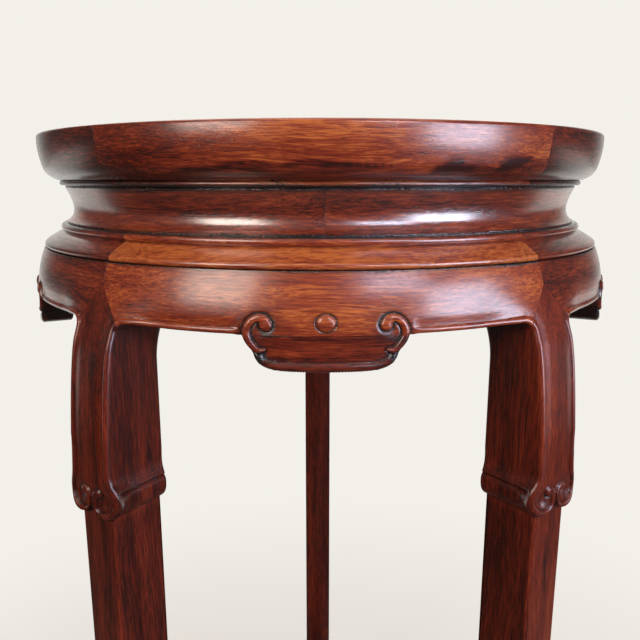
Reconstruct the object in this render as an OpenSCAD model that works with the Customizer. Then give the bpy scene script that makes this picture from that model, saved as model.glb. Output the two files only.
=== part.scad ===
// Round hardwood display stand: a framed top on a recessed waist, five curved aprons with scrolled
// pendants, five square legs with scrolled knees, and a low round shelf that ties the legs together.
// Millimetres, +Z up. The origin is on the floor under the axis of the top. The front apron faces -Y.

/* [Overall] */
// Height from the floor to the top
stand_h = 900; // [760:5:1000]
// Radius of the round top at its rim
top_r = 210; // [180:1:230]

/* [Top frame] */
// Height of the moulded rim
rim_h = 30.5; // [27:0.5:36]
// Inward lean of the rim face from its top to its under-rounding
rim_lean = 3; // [0:0.5:5]
// Rounding of the rim's top edge
rim_edge_r = 3; // [1:0.5:5]
// Rounding under the rim
rim_under_r = 9; // [6:0.5:11]
// Height of the narrow fillet below the rim
rim_fillet_h = 3.5; // [2.5:0.5:6]
// Set-back of that fillet from the rim
rim_fillet_setback = 13; // [12:0.5:15]
// Radial width of a frame member
frame_w = 60; // [56:1:68]
// Azimuth of the two front frame joints, from the middle of the front
frame_joint_az = 37.5; // [37:0.5:44]

/* [Top panel] */
// Thickness of the floating panel, flush with the frame
panel_t = 10; // [9:0.5:12]
// Thickness of the tongue round the panel
panel_tongue_t = 5; // [4:0.5:6]
// Length of that tongue
panel_tongue_l = 7; // [5:0.5:8]
// Gap left round the panel for the wood to move
panel_gap = 0.4; // [0.2:0.1:0.8]

/* [Battens] */
// Distance between the two battens
batten_pitch = 110; // [90:2:130]
// Width of a batten at the panel
batten_w = 24; // [20:1:28]
// Depth of a batten below the panel
batten_h = 20; // [18:1:22]
// Depth of the dovetail in the panel
batten_dovetail_h = 4; // [3:0.5:4.5]
// Inward slope of each dovetail flank
batten_dovetail_slope = 1.5; // [1:0.5:2]
// Width of a batten's end tenon
batten_tenon_w = 12; // [10:1:14]
// Height of a batten's end tenon
batten_tenon_h = 10; // [8:1:12]
// Length of a batten's end tenon
batten_tenon_l = 9; // [7:1:10]

/* [Splines] */
// Radial length of a loose tongue in a frame joint
spline_w = 18; // [14:1:20]
// Thickness of that tongue
spline_t = 7; // [6:0.5:8]
// Reach of the tongue into each of the two members
spline_reach = 14; // [10:1:16]
// Distance of the tongue from the rim or the shelf's edge
spline_setback = 11; // [10:1:12]

/* [Waist] */
// Height of the recessed waist
waist_h = 26; // [22:0.5:34]
// Set-back of the waist's upper and lower edges from the rim
waist_edge_setback = 16.5; // [15.5:0.5:17.5]
// Set-back of the waist's hollow from the rim
waist_hollow_setback = 21.3; // [19.3:0.5:23.3]
// Thickness of the waist at its hollow
waist_t = 11; // [10:0.5:13]
// Thickness of the tongues above and below the waist
waist_tongue_t = 4; // [3:0.5:5]
// Height of those tongues
waist_tongue_h = 4; // [3:0.5:5]

/* [Shoulder moulding] */
// Height of the moulding under the waist
moulding_h = 16; // [14:0.5:20]
// Height of the bead at the moulding's top
moulding_bead_h = 5; // [4:0.5:6]
// Set-back of the bead from the rim
moulding_bead_setback = 12; // [11:0.5:13]
// Height of the lip at the moulding's foot
moulding_lip_h = 4; // [3:0.5:5]
// Diameter of the pins from the moulding into the aprons
pin_d = 5; // [4:0.5:6]
// Reach of a pin into the apron
pin_reach = 12; // [10:1:14]
// Reach of a pin into the moulding
pin_grip = 6; // [5:0.5:7]
// Distance of a pin from the rim's radius
pin_setback = 8; // [7.5:0.5:9]
// Azimuth of the pins either side of the middle of an apron
pin_az = 20; // [16:1:24]

/* [Aprons] */
// Height of an apron at its plain lower edge
apron_h = 33; // [31:0.5:40]
// Swell of the apron beyond the rim's radius at its lower edge
apron_swell = 6.5; // [4:0.5:9]
// Thickness of an apron at its lower edge
apron_t = 22; // [20:0.5:24]
// Height of the mitred shoulder where the leg's face runs up between two aprons
mitre_h = 20.5; // [18:0.5:24]

/* [Pendants] */
// Drop of a pendant below the apron's edge
pendant_drop = 19.5; // [17:0.5:24]
// Width of a pendant's body
pendant_w = 74; // [70:1:90]
// Radius of the pendant's lower corners
pendant_corner_r = 9; // [6:0.5:11]
// Distance across the two scroll heads, centre to centre
scroll_pitch = 69; // [65:1:85]
// Radius of a scroll head
scroll_r = 8.5; // [7:0.5:9.5]
// Height of the scroll heads' centres above the apron's edge
scroll_rise = 2; // [0:0.5:4]
// Thinning of a pendant at its back
pendant_back = 2; // [1:0.5:4]
// Relief of the carved pendant over the apron
pendant_relief = 1.5; // [1:0.25:2]
// Diameter of the round button between the scrolls
button_d = 10.6; // [9:0.2:12]
// Height of the button's centre above the apron's edge
button_rise = 7; // [6:0.5:8]
// Relief of the button over the pendant
button_relief = 1; // [0.5:0.25:1.5]

/* [Legs] */
// Width of a leg above its knee
leg_w = 33.5; // [31:0.5:35]
// Depth of a leg above its knee
leg_depth = 40; // [37:0.5:42]
// Flare of a leg's face beyond the apron's edge
leg_flare = 16; // [13:0.5:20]
// Flare that is reached by the quick curve close under the apron
flare_quick = 8.2; // [6:0.2:11]
// Distance below the apron's edge where that quick curve ends
flare_quick_drop = 8; // [6:0.5:14]
// Distance below the quick curve over which the rest of the flare is reached
flare_slow_drop = 58; // [40:1:60]
// Distance below the apron's edge where a leg's back starts to curve in to its post
back_curve_drop = 26; // [20:1:60]
// Distance from the apron's edge to the top of the knee scroll
knee_drop = 90; // [70:1:110]
// Height of the knee scroll
knee_h = 26; // [24:0.5:29]
// Swell of the knee scroll over the leg's face
knee_swell = 0.6; // [0.4:0.2:2]
// Swell of the knee's side rolls over the leg's sides
knee_side_swell = 3.2; // [2:0.2:4]
// Distance of the side rolls' ends inside the knee scroll's ends
roll_inset = 1.3; // [0.7:0.2:1.9]
// Radius of the two volutes on the knee's face
volute_r = 9.5; // [8.5:0.5:9.5]
// Distance between the two volutes
volute_pitch = 20; // [19.5:0.5:20.5]
// Relief of the volutes over the knee's swell
volute_relief = 0.8; // [0.4:0.2:1.2]
// Width of a leg below its knee
shank_w = 28.5; // [26:0.5:30]
// Depth of a leg below its knee
shank_depth = 35; // [32:0.5:36]
// Set-back of the lower leg's face from the upper leg's face
shank_setback = 3; // [2:0.2:5]
// Height of the hoof foot
foot_h = 46; // [36:1:60]
// Height of the upright pad of the hoof
foot_pad_h = 11; // [8:0.5:14]
// Inward turn of the hoof foot
foot_turn = 9; // [6:0.5:12]

/* [Leg joints] */
// Depth of the leg's post behind the waist
post_depth = 18; // [16:0.5:19]
// Width of the tenon from the leg into the top frame
leg_tenon_w = 12; // [10:0.5:13]
// Depth of that tenon
leg_tenon_d = 13; // [11:0.5:15]
// Length of that tenon
leg_tenon_l = 19; // [16:0.5:20]
// Distance of the dovetail keys from the leg's middle
key_offset = 8.5; // [8:0.25:9]
// Width of a key at its root
key_root_w = 5; // [4:0.5:6]
// Width of a key at its tip
key_tip_w = 8; // [7:0.5:9]
// Depth of a key in the apron
key_depth = 8; // [6:0.5:9]
// Distance from the apron's top to the top of a key
key_top = 4; // [3:0.5:6]

/* [Shelf] */
// Height of the shelf's top over the floor
shelf_z = 170; // [140:2:260]
// Thickness of the shelf's frame
shelf_h = 30; // [29:0.5:34]
// Radial width of a shelf rail
rail_w = 50; // [46:1:58]
// Rounding of the shelf's edges
shelf_edge_r = 6; // [4:0.5:8]
// Width of a rail's tenon in the leg
rail_tenon_w = 12; // [10:0.5:14]
// Height of that tenon
rail_tenon_h = 15; // [12:0.5:16]
// Length of that tenon
rail_tenon_l = 18; // [14:0.5:20]

/* [Fits] */
// Clearance in a glued joint
glue_fit = 0.15; // [0.1:0.05:0.3]

/* [Hidden] */
LEGS = 5;
PITCH_AZ = 360 / LEGS;
HALF_AZ = PITCH_AZ / 2;
$fn = 96;
STEPS = 8;
OVER = 1;
// Shares that shape a curve: where an apron's face is fullest, where a leg's flare leaves that face,
// where a knee scroll is fullest, and how soon its curve pulls outwards
APRON_FULL = 0.45;
FLARE_FROM = 0.36;
KNEE_FULL = 0.42;
KNEE_PULL = 0.1;
WOOD = "#7d3722";
WOOD_DARK = "#6a2a1c";
WOOD_PALE = "#8f4629";
BAMBOO = "#b58a52";

// Levels below the top
frame_h = rim_h + rim_fillet_h;
waist_end = frame_h + waist_h;
apron_top = waist_end + moulding_h;
apron_edge = apron_top + apron_h;
mitre_apex = apron_edge - mitre_h;
knee_top = apron_edge + knee_drop;
knee_end = knee_top + knee_h;
volute_level = knee_end - volute_r - OVER;

// Radii
frame_in_r = top_r - frame_w;
fillet_r = top_r - rim_fillet_setback;
waist_edge_r = top_r - waist_edge_setback;
waist_hollow_r = top_r - waist_hollow_setback;
waist_in_r = waist_hollow_r - waist_t;
waist_tongue_r = waist_in_r + waist_t / 2;
apron_r = top_r + apron_swell;
apron_in_r = apron_r - apron_t;
pendant_r = apron_r + pendant_relief;
leg_out_r = apron_r + leg_flare;
leg_in_r = leg_out_r - leg_depth;
knee_r = leg_out_r + knee_swell;
shank_out_r = leg_out_r - shank_setback;
shank_in_r = shank_out_r - shank_depth;
volute_in_r = shank_out_r - shank_depth / 2;
post_out_r = waist_in_r - glue_fit;
post_in_r = post_out_r - post_depth;
core_r = apron_in_r - glue_fit;
shelf_r = shank_in_r - glue_fit;
shelf_in_r = shelf_r - rail_w;

// Joint azimuths of the five frame members, the first member at the front
FRAME_JOINTS = [-frame_joint_az, frame_joint_az, frame_joint_az + PITCH_AZ, 180,
                360 - frame_joint_az - PITCH_AZ, 360 - frame_joint_az];

// Height of a level that is measured down from the top
function down(d) = stand_h - d;

// Azimuth of a leg, an apron and a waist joint
function leg_az(i) = (i - 1) * PITCH_AZ - HALF_AZ;
function apron_az(i) = (i - 1) * PITCH_AZ;

// Points of an arc, and of a curve from p to q that is pulled towards c
function turn(r, a) = r * [cos(a), sin(a)];
function arc(centre, r, from, to) = [for (i = [0:STEPS]) centre + turn(r, from + (to - from) * i / STEPS)];
function bend(p, c, q, s) = (1 - s) * (1 - s) * p + 2 * s * (1 - s) * c + s * s * q;
function curve(p, c, q) = [for (i = [0:STEPS]) bend(p, c, q, i / STEPS)];

// Turns the radial direction, drawn along +X, to an azimuth that is counted from the front
module at(az) {
    rotate([0, 0, az - 90]) children();
}

// Turns a radius and height outline about the axis of the stand, between two azimuths
module ring(from, to) {
    at(from) rotate_extrude(angle = to - from) children();
}

// Pushes an outline of width and height outwards from the axis, between two radii
module push_out(r1, r2) {
    translate([r1, 0, 0]) rotate([90, 0, 90]) linear_extrude(r2 - r1) children();
}

// A block with its radial, tangential and vertical limits, centred across its width
module block(r1, r2, width, z1, z2) {
    translate([r1, -width / 2, z1]) cube([r2 - r1, width, z2 - z1]);
}

// Outline of the top frame: rounded rim, under-rounding and the fillet that stands on the waist
module frame_outline() {
    under_z = down(rim_h - rim_under_r);
    polygon(concat(
        [[frame_in_r, down(0)]],
        arc([top_r - rim_edge_r, down(rim_edge_r)], rim_edge_r, 90, 0),
        arc([top_r - rim_lean - rim_under_r, under_z], rim_under_r, 0, -90),
        [[fillet_r, down(rim_h)], [fillet_r, down(frame_h)], [frame_in_r, down(frame_h)]]));
}

// A band of an outline from one radius and height to another
module band(r1, r2, z1, z2) {
    translate([r1, z1]) square([r2 - r1, z2 - z1]);
}

// The groove in a frame's inner edge that holds a panel's tongue
module panel_groove(in_r, top_z) {
    band(in_r - OVER, in_r + panel_tongue_l + panel_gap, top_z - panel_t,
         top_z - panel_t + panel_tongue_t + glue_fit);
}

// One tongue across a frame joint, with a clearance where it is a slot
module spline(az, edge_r, mid_z, clear) {
    at(az) block(edge_r - spline_setback - spline_w - clear, edge_r - spline_setback + clear,
                 2 * (spline_reach + clear), mid_z - spline_t / 2 - clear, mid_z + spline_t / 2 + clear);
}

// The tenons at both ends of a batten, with a clearance where they are mortises
module batten_tenons(x, in_r, top_z, clear) {
    reach = sqrt(in_r * in_r - x * x) + batten_tenon_l + clear;
    mid_z = top_z - panel_t - batten_h / 2;
    translate([x - batten_tenon_w / 2 - clear, -reach, mid_z - batten_tenon_h / 2 - clear])
        cube([batten_tenon_w + 2 * clear, 2 * reach, batten_tenon_h + 2 * clear]);
}

// A batten's cross-section: a dovetail in the panel over a plain rib
module batten_section(clear) {
    neck = batten_w / 2 - batten_dovetail_slope + clear;
    tip = batten_w / 2 + clear;
    tip_z = batten_dovetail_h + clear;
    polygon([[-neck, -batten_h], [neck, -batten_h], [neck, 0], [tip, tip_z], [-tip, tip_z], [-neck, 0]]);
}

// A batten's long rib from front to back at one side of the middle
module batten_rib(x, in_r, top_z, clear) {
    translate([x, 0, top_z - panel_t]) rotate([90, 0, 0])
        linear_extrude(2 * in_r, center = true) batten_section(clear);
}

// A dovetailed batten under a panel, tenoned into the frame at both ends
module batten(x, in_r, top_z) {
    union() {
        intersection() {
            batten_rib(x, in_r, top_z, 0);
            translate([0, 0, top_z - panel_t - batten_h - OVER])
                cylinder(r = in_r - glue_fit, h = panel_t + batten_h);
        }
        batten_tenons(x, in_r, top_z, 0);
    }
}

// A floating panel with a tongue round its edge and grooves for two battens
module framed_panel(in_r, top_z) {
    difference() {
        union() {
            translate([0, 0, top_z - panel_t]) cylinder(r = in_r - panel_gap, h = panel_t);
            translate([0, 0, top_z - panel_t]) cylinder(r = in_r + panel_tongue_l, h = panel_tongue_t);
        }
        for (side = [-1, 1])
            batten_rib(side * batten_pitch / 2, in_r + panel_tongue_l + OVER, top_z, glue_fit);
    }
}

// The mortises and grooves that a frame needs for its panel's two battens
module batten_mortises(in_r, top_z) {
    for (side = [-1, 1]) batten_tenons(side * batten_pitch / 2, in_r, top_z, glue_fit);
}

spline_level = down(rim_h / 2);
shelf_spline_level = shelf_z - shelf_h / 2;

module leg_tenon(clear) {
    mid_r = (post_in_r + post_out_r) / 2;
    block(mid_r - leg_tenon_d / 2 - clear, mid_r + leg_tenon_d / 2 + clear, leg_tenon_w + 2 * clear,
          down(frame_h) - OVER, down(frame_h) + leg_tenon_l + clear);
}

module top_frame(i) {
    color(WOOD) difference() {
        ring(FRAME_JOINTS[i - 1], FRAME_JOINTS[i]) difference() {
            frame_outline();
            panel_groove(frame_in_r, stand_h);
            waist_groove(down(frame_h), 1);
        }
        for (k = [1:LEGS]) at(leg_az(k)) leg_tenon(glue_fit);
        for (j = [i - 1, i]) spline(FRAME_JOINTS[j], top_r, spline_level, glue_fit);
        batten_mortises(frame_in_r, stand_h);
    }
}

module top_frame_splines() {
    color(WOOD_PALE) for (j = [1:LEGS]) spline(FRAME_JOINTS[j], top_r, spline_level, 0);
}

module top_panel() {
    color(WOOD_PALE) framed_panel(frame_in_r, stand_h);
}

module top_batten(side) {
    color(WOOD_DARK) batten(side * batten_pitch / 2, frame_in_r, stand_h);
}

// The groove for a tongue of the waist, above (up 1) or below (up -1) a joint level
module waist_groove(z, up) {
    half = waist_tongue_t / 2 + glue_fit;
    mouth = z - up * OVER;
    floor = z + up * (waist_tongue_h + glue_fit);
    band(waist_tongue_r - half, waist_tongue_r + half, min(mouth, floor), max(mouth, floor));
}

// The waist is a hollow band whose joints lie at the middles of the aprons
module waist(i) {
    mid = (frame_h + waist_end) / 2;
    hollow_bend_r = 2 * waist_hollow_r - waist_edge_r;
    tongue_in = waist_tongue_r - waist_tongue_t / 2;
    tongue_out = waist_tongue_r + waist_tongue_t / 2;
    color(WOOD) ring(apron_az(i), apron_az(i + 1)) polygon(concat(
        [[waist_in_r, down(frame_h)], [tongue_in, down(frame_h)], [tongue_in, down(frame_h - waist_tongue_h)],
         [tongue_out, down(frame_h - waist_tongue_h)], [tongue_out, down(frame_h)]],
        curve([waist_edge_r, down(frame_h)], [hollow_bend_r, down(mid)], [waist_edge_r, down(waist_end)]),
        [[tongue_out, down(waist_end)], [tongue_out, down(waist_end + waist_tongue_h)],
         [tongue_in, down(waist_end + waist_tongue_h)], [tongue_in, down(waist_end)],
         [waist_in_r, down(waist_end)]]));
}

// A pin from the shoulder moulding down into an apron, with a clearance where it is a hole
module pins(i, clear) {
    for (side = [-1, 1]) at(apron_az(i) + side * pin_az)
        translate([top_r - pin_setback, 0, down(apron_top + pin_reach + clear)])
            cylinder(d = pin_d + 2 * clear, h = pin_reach + pin_grip + 2 * clear);
}

// The moulding: a bead, a hollow slope and a lip, jointed over the legs
module shoulder_moulding(i) {
    bead_r = top_r - moulding_bead_setback;
    bead_mid = waist_end + moulding_bead_h / 2;
    lip_top = apron_top - moulding_lip_h;
    lip_r = moulding_lip_h / 2;
    color(WOOD_DARK) difference() {
        ring(leg_az(i), leg_az(i + 1)) difference() {
            polygon(concat(
                [[waist_in_r, down(waist_end)]],
                arc([bead_r - moulding_bead_h / 2, down(bead_mid)], moulding_bead_h / 2, 90, -90),
                curve([bead_r, down(waist_end + moulding_bead_h)], [bead_r + moulding_lip_h, down(lip_top)],
                      [top_r - lip_r, down(lip_top)]),
                arc([top_r - lip_r, down(apron_top - lip_r)], lip_r, 90, -90),
                [[waist_in_r, down(apron_top)]]));
            waist_groove(down(waist_end), -1);
        }
        pins(i, glue_fit);
    }
}

module moulding_pins() {
    color(BAMBOO) for (i = [1:LEGS]) pins(i, 0);
}

// The apron's face, from under the moulding to its plain lower edge
function apron_face(s) = bend([top_r, down(apron_top)], [apron_r, down(apron_top + apron_h * APRON_FULL)],
                              [apron_r, down(apron_edge)], s);

module apron_outline() {
    polygon(concat(
        [[apron_in_r, down(apron_top)]],
        [for (i = [0:STEPS]) apron_face(i / STEPS)],
        [[apron_in_r, down(apron_edge)]]));
}

// The pendant from the front: a body with round lower corners between two scroll heads
module pendant_outline() {
    half = pendant_w / 2;
    foot = down(apron_edge + pendant_drop);
    rise = scroll_rise + scroll_r / 2;
    polygon(concat(
        [[-half, down(apron_edge) + rise]],
        arc([-half + pendant_corner_r, foot + pendant_corner_r], pendant_corner_r, 180, 270),
        arc([half - pendant_corner_r, foot + pendant_corner_r], pendant_corner_r, 270, 360),
        [[half, down(apron_edge) + rise]]));
    for (side = [-1, 1])
        translate([side * scroll_pitch / 2, down(apron_edge) + scroll_rise]) circle(scroll_r);
}

// The hanging dovetail keys of a leg, with a clearance where they are sockets
module keys(clear) {
    root = key_root_w / 2 + clear;
    tip = key_tip_w / 2 + clear;
    r1 = core_r - OVER;
    r2 = core_r + key_depth + clear;
    bottom = (mitre_apex + 2 * apron_edge) / 3;
    for (side = [-1, 1]) translate([0, side * key_offset, down(bottom)])
        linear_extrude(bottom - apron_top - key_top + clear)
            polygon([[r1, -root], [r2, -tip], [r2, tip], [r1, root]]);
}

// Level of a mitre line at a distance from the leg's middle. It meets the apron's edge at the leg's side.
function mitre_level(t) = mitre_apex + t * mitre_h / (leg_w / 2);

// What the aprons take away from a leg's face: all that lies above its two mitre lines
module above_mitres() {
    reach = leg_w / 2 + OVER;
    polygon([[0, down(mitre_apex)], [reach, down(mitre_level(reach))], [reach, down(apron_top - OVER)],
             [-reach, down(apron_top - OVER)], [-reach, down(mitre_level(reach))]]);
}

// What a leg's face takes away from the end of an apron on one side (1 or -1) of the leg's middle
module below_mitre(side) {
    reach = leg_w / 2 + OVER;
    polygon([[side * reach, down(mitre_level(reach))], [-side * OVER, down(mitre_level(-OVER))],
             [-side * OVER, down(mitre_level(reach))]]);
}

// The part of an apron's pendant that lies between two levels below the top
module pendant_part(i, from, to) {
    az = apron_az(i);
    intersection() {
        ring(az - HALF_AZ / 2, az + HALF_AZ / 2)
            band(apron_in_r + pendant_back, pendant_r, down(to), down(from));
        at(az) push_out(apron_in_r - apron_t, pendant_r + OVER) pendant_outline();
    }
}

// The lower part of a pendant is a block of its own, glued under the apron's edge
module pendant(i) {
    color(WOOD) pendant_part(i, apron_edge, apron_edge + pendant_drop + OVER);
}

// An apron runs from the middle of one leg to the middle of the next. The top of its pendant is one with it.
module apron(i) {
    color(WOOD) difference() {
        union() {
            ring(leg_az(i), leg_az(i + 1)) apron_outline();
            pendant_part(i, apron_top, apron_edge);
            at(apron_az(i)) translate([pendant_r - pendant_back, 0, down(apron_edge) + button_rise])
                rotate([0, 90, 0]) cylinder(d = button_d, h = pendant_back + button_relief);
        }
        for (end = [0, 1]) at(leg_az(i + end)) {
            push_out(apron_in_r - OVER, leg_out_r) below_mitre(1 - 2 * end);
            keys(glue_fit);
        }
        pins(i, glue_fit);
    }
}

// A leg from the side: post, core, flared face, knee scroll, lower leg and hoof
module leg_outline() {
    flare_start = apron_face(FLARE_FROM);
    quick_end = [apron_r + flare_quick, down(apron_edge + flare_quick_drop)];
    slow_end = [leg_out_r, down(apron_edge + flare_quick_drop + flare_slow_drop)];
    slow_bend = [(quick_end.x + leg_out_r) / 2, quick_end.y - flare_quick_drop];
    knee_full = knee_top + knee_h * KNEE_FULL;
    pad = [shank_in_r - foot_turn, foot_pad_h];
    polygon(concat(
        [[post_in_r, down(frame_h)], [post_out_r, down(frame_h)], [post_out_r, down(apron_top)]],
        [for (i = [0:STEPS]) apron_face(FLARE_FROM * i / STEPS)],
        curve(flare_start, [apron_r + flare_quick * 2 / 3, down(apron_edge)], quick_end),
        curve(quick_end, slow_bend, slow_end),
        curve([leg_out_r, down(knee_top)], [knee_r, down(knee_top + knee_h * KNEE_PULL)],
              [knee_r, down(knee_full)]),
        curve([knee_r, down(knee_full)], [knee_r, down(knee_end)], [shank_out_r, down(knee_end)]),
        [[shank_out_r, 0], [pad.x, 0]],
        curve(pad, [shank_in_r, (foot_pad_h + foot_h) / 2], [shank_in_r, foot_h]),
        [[shank_in_r, down(knee_end)], [leg_in_r, down(knee_top)]],
        curve([leg_in_r, down(apron_edge + back_curve_drop)], [leg_in_r, down(apron_edge)],
              [post_in_r, down(apron_top)])));
}

// Half of a leg's width from the front: plain, then the knee's side roll, then the lower leg
module leg_width_outline() {
    half = leg_w / 2;
    roll = half + knee_side_swell;
    roll_top = knee_top + roll_inset;
    roll_end = knee_end - roll_inset;
    roll_full = roll_top + knee_h * KNEE_FULL;
    side = concat(
        [[half, down(frame_h - OVER)]],
        curve([half, down(roll_top)], [roll, down(roll_top + knee_h * KNEE_PULL)], [roll, down(roll_full)]),
        curve([roll, down(roll_full)], [roll, down(roll_end)], [shank_w / 2, down(roll_end)]),
        [[shank_w / 2, -OVER]]);
    polygon(concat(side, [for (i = [len(side) - 1:-1:0]) [-side[i].x, side[i].y]]));
}

// The tenon of a shelf rail in a leg, with a clearance where it is a mortise
module rail_tenon(clear) {
    block(shelf_r - OVER, shelf_r + rail_tenon_l + clear, rail_tenon_w + 2 * clear,
          shelf_spline_level - rail_tenon_h / 2 - clear, shelf_spline_level + rail_tenon_h / 2 + clear);
}

module leg(i) {
    span = HALF_AZ / 2;
    color(WOOD) at(leg_az(i)) difference() {
        union() {
            difference() {
                intersection() {
                    rotate([0, 0, -span]) rotate_extrude(angle = 2 * span) leg_outline();
                    push_out(post_in_r / 2, knee_r + OVER) leg_width_outline();
                }
                push_out(core_r, knee_r + OVER) above_mitres();
            }
            leg_tenon(0);
            keys(0);
            for (side = [-1, 1]) translate([volute_in_r, side * volute_pitch / 2, down(volute_level)])
                rotate([0, 90, 0]) cylinder(r = volute_r, h = knee_r + volute_relief - volute_in_r);
        }
        rail_tenon(glue_fit);
    }
}

// Outline of the shelf's frame, rounded at its outer edges
module shelf_outline() {
    polygon(concat(
        [[shelf_in_r, shelf_z]],
        arc([shelf_r - shelf_edge_r, shelf_z - shelf_edge_r], shelf_edge_r, 90, 0),
        arc([shelf_r - shelf_edge_r, shelf_z - shelf_h + shelf_edge_r], shelf_edge_r, 0, -90),
        [[shelf_in_r, shelf_z - shelf_h]]));
}

// A shelf rail is centred on its leg, and is jointed to its neighbours under the middles of the aprons
module shelf_rail(i) {
    color(WOOD) difference() {
        union() {
            ring(leg_az(i) - HALF_AZ, leg_az(i) + HALF_AZ) difference() {
                shelf_outline();
                panel_groove(shelf_in_r, shelf_z);
            }
            at(leg_az(i)) rail_tenon(0);
        }
        for (side = [-1, 1]) spline(leg_az(i) + side * HALF_AZ, shelf_r, shelf_spline_level, glue_fit);
        batten_mortises(shelf_in_r, shelf_z);
    }
}

module shelf_splines() {
    color(WOOD_PALE) for (i = [1:LEGS]) spline(apron_az(i), shelf_r, shelf_spline_level, 0);
}

module shelf_panel() {
    color(WOOD_PALE) framed_panel(shelf_in_r, shelf_z);
}

module shelf_batten(side) {
    color(WOOD_DARK) batten(side * batten_pitch / 2, shelf_in_r, shelf_z);
}

for (i = [1:LEGS]) {
    top_frame(i);
    waist(i);
    shoulder_moulding(i);
    apron(i);
    pendant(i);
    leg(i);
    shelf_rail(i);
}
top_frame_splines();
top_panel();
top_batten(-1);  // top_batten_left
top_batten(1);  // top_batten_right
moulding_pins();
shelf_splines();
shelf_panel();
shelf_batten(-1);  // shelf_batten_left
shelf_batten(1);  // shelf_batten_right
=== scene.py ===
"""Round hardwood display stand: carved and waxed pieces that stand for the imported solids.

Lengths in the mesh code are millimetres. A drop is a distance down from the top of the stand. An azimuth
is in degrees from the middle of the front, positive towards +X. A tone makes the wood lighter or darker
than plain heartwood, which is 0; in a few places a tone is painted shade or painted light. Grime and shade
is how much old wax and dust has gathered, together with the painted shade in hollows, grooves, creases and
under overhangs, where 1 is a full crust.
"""

import math

import bmesh
import bpy
import numpy as np
from bpy.props import FloatProperty, FloatVectorProperty, PointerProperty
from bpy.types import NodeSocket, Operator, Panel, PropertyGroup
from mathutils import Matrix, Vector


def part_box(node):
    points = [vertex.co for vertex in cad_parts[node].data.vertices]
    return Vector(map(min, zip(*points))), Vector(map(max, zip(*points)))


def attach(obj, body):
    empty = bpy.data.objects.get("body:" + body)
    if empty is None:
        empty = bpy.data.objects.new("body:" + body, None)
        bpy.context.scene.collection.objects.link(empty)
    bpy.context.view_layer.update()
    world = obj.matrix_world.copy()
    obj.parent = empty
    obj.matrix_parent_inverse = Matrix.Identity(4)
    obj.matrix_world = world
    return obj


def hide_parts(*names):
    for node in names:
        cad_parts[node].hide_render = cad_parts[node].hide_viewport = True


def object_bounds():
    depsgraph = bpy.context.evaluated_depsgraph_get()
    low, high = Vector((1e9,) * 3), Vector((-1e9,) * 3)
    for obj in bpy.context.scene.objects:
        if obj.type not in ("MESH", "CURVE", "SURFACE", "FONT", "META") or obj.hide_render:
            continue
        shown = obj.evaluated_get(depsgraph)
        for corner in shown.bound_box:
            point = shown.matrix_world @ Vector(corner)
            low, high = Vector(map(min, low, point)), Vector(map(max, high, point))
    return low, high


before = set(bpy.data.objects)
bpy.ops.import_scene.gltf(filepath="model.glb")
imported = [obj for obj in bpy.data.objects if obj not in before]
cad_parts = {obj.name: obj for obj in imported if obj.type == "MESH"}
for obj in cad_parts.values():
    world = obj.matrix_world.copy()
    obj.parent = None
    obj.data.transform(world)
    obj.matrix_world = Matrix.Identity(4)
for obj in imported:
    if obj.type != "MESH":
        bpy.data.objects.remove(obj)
CAD_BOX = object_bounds()

bl_info = {
    "name": "Round hardwood stand",
    "version": (1, 0, 0),
    "blender": (4, 5, 0),
    "location": "View3D > Sidebar > Stand",
    "description": "Builds a carved round stand with a framed top, five legs and a low shelf",
    "category": "Add Mesh",
}

MM = 0.001
LEGS = 5
PITCH = 360 / LEGS
HALF_PITCH = PITCH / 2
HEIGHT = CAD_BOX[1].z / MM


def drop_of(node, upper):
    """Drop of the upper or lower end of a solid."""
    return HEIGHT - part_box(node)[1 if upper else 0].z / MM


# Levels of the stand, from its solids
FRAME_END = drop_of("top_frame_1", False)
WAIST_END = drop_of("shoulder_moulding_1", True)
APRON_TOP = drop_of("apron_1", True)
APRON_EDGE = drop_of("pendant_1", True)
SHELF_TOP = drop_of("shelf_panel", True)
SHELF_END = drop_of("shelf_rail_1", False)
PANEL_T = drop_of("top_panel", False)
RIM_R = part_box("top_frame_2")[1].x / MM

# Room at a hidden fit, room behind an apron, and rounding of the edges where a frame and its panel meet
FIT = 0.15
APRON_FIT = 0.1
ARRIS = 0.6


def length(name, description, size):
    """A length that a user can change, given in millimetres and kept in metres."""
    return FloatProperty(name=name, description=description, default=size * MM, min=0, precision=5,
                         unit="LENGTH")


def angle(name, description, degrees):
    """An angle that a user can change."""
    return FloatProperty(name=name, description=description, default=math.radians(degrees), subtype="ANGLE")


def power(name, description, watts):
    """A light's power that a user can change."""
    return FloatProperty(name=name, description=description, default=watts, min=0, unit="POWER")


def strength(name, description, amount):
    """A strength of the surroundings that a user can change, where 1 shows their colour as it is."""
    return FloatProperty(name=name, description=description, default=amount, min=0)


def linear(code):
    """Linear colour from an sRGB hex value."""
    parts = [int(code[i:i + 2], 16) / 255 for i in (1, 3, 5)]
    return [p / 12.92 if p <= 0.04045 else ((p + 0.055) / 1.055) ** 2.4 for p in parts]


def colour(name, description, code):
    """A colour that a user can change, given as an sRGB hex value."""
    return FloatVectorProperty(name=name, description=description, default=linear(code), size=3, min=0,
                               max=1, subtype="COLOR")


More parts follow.
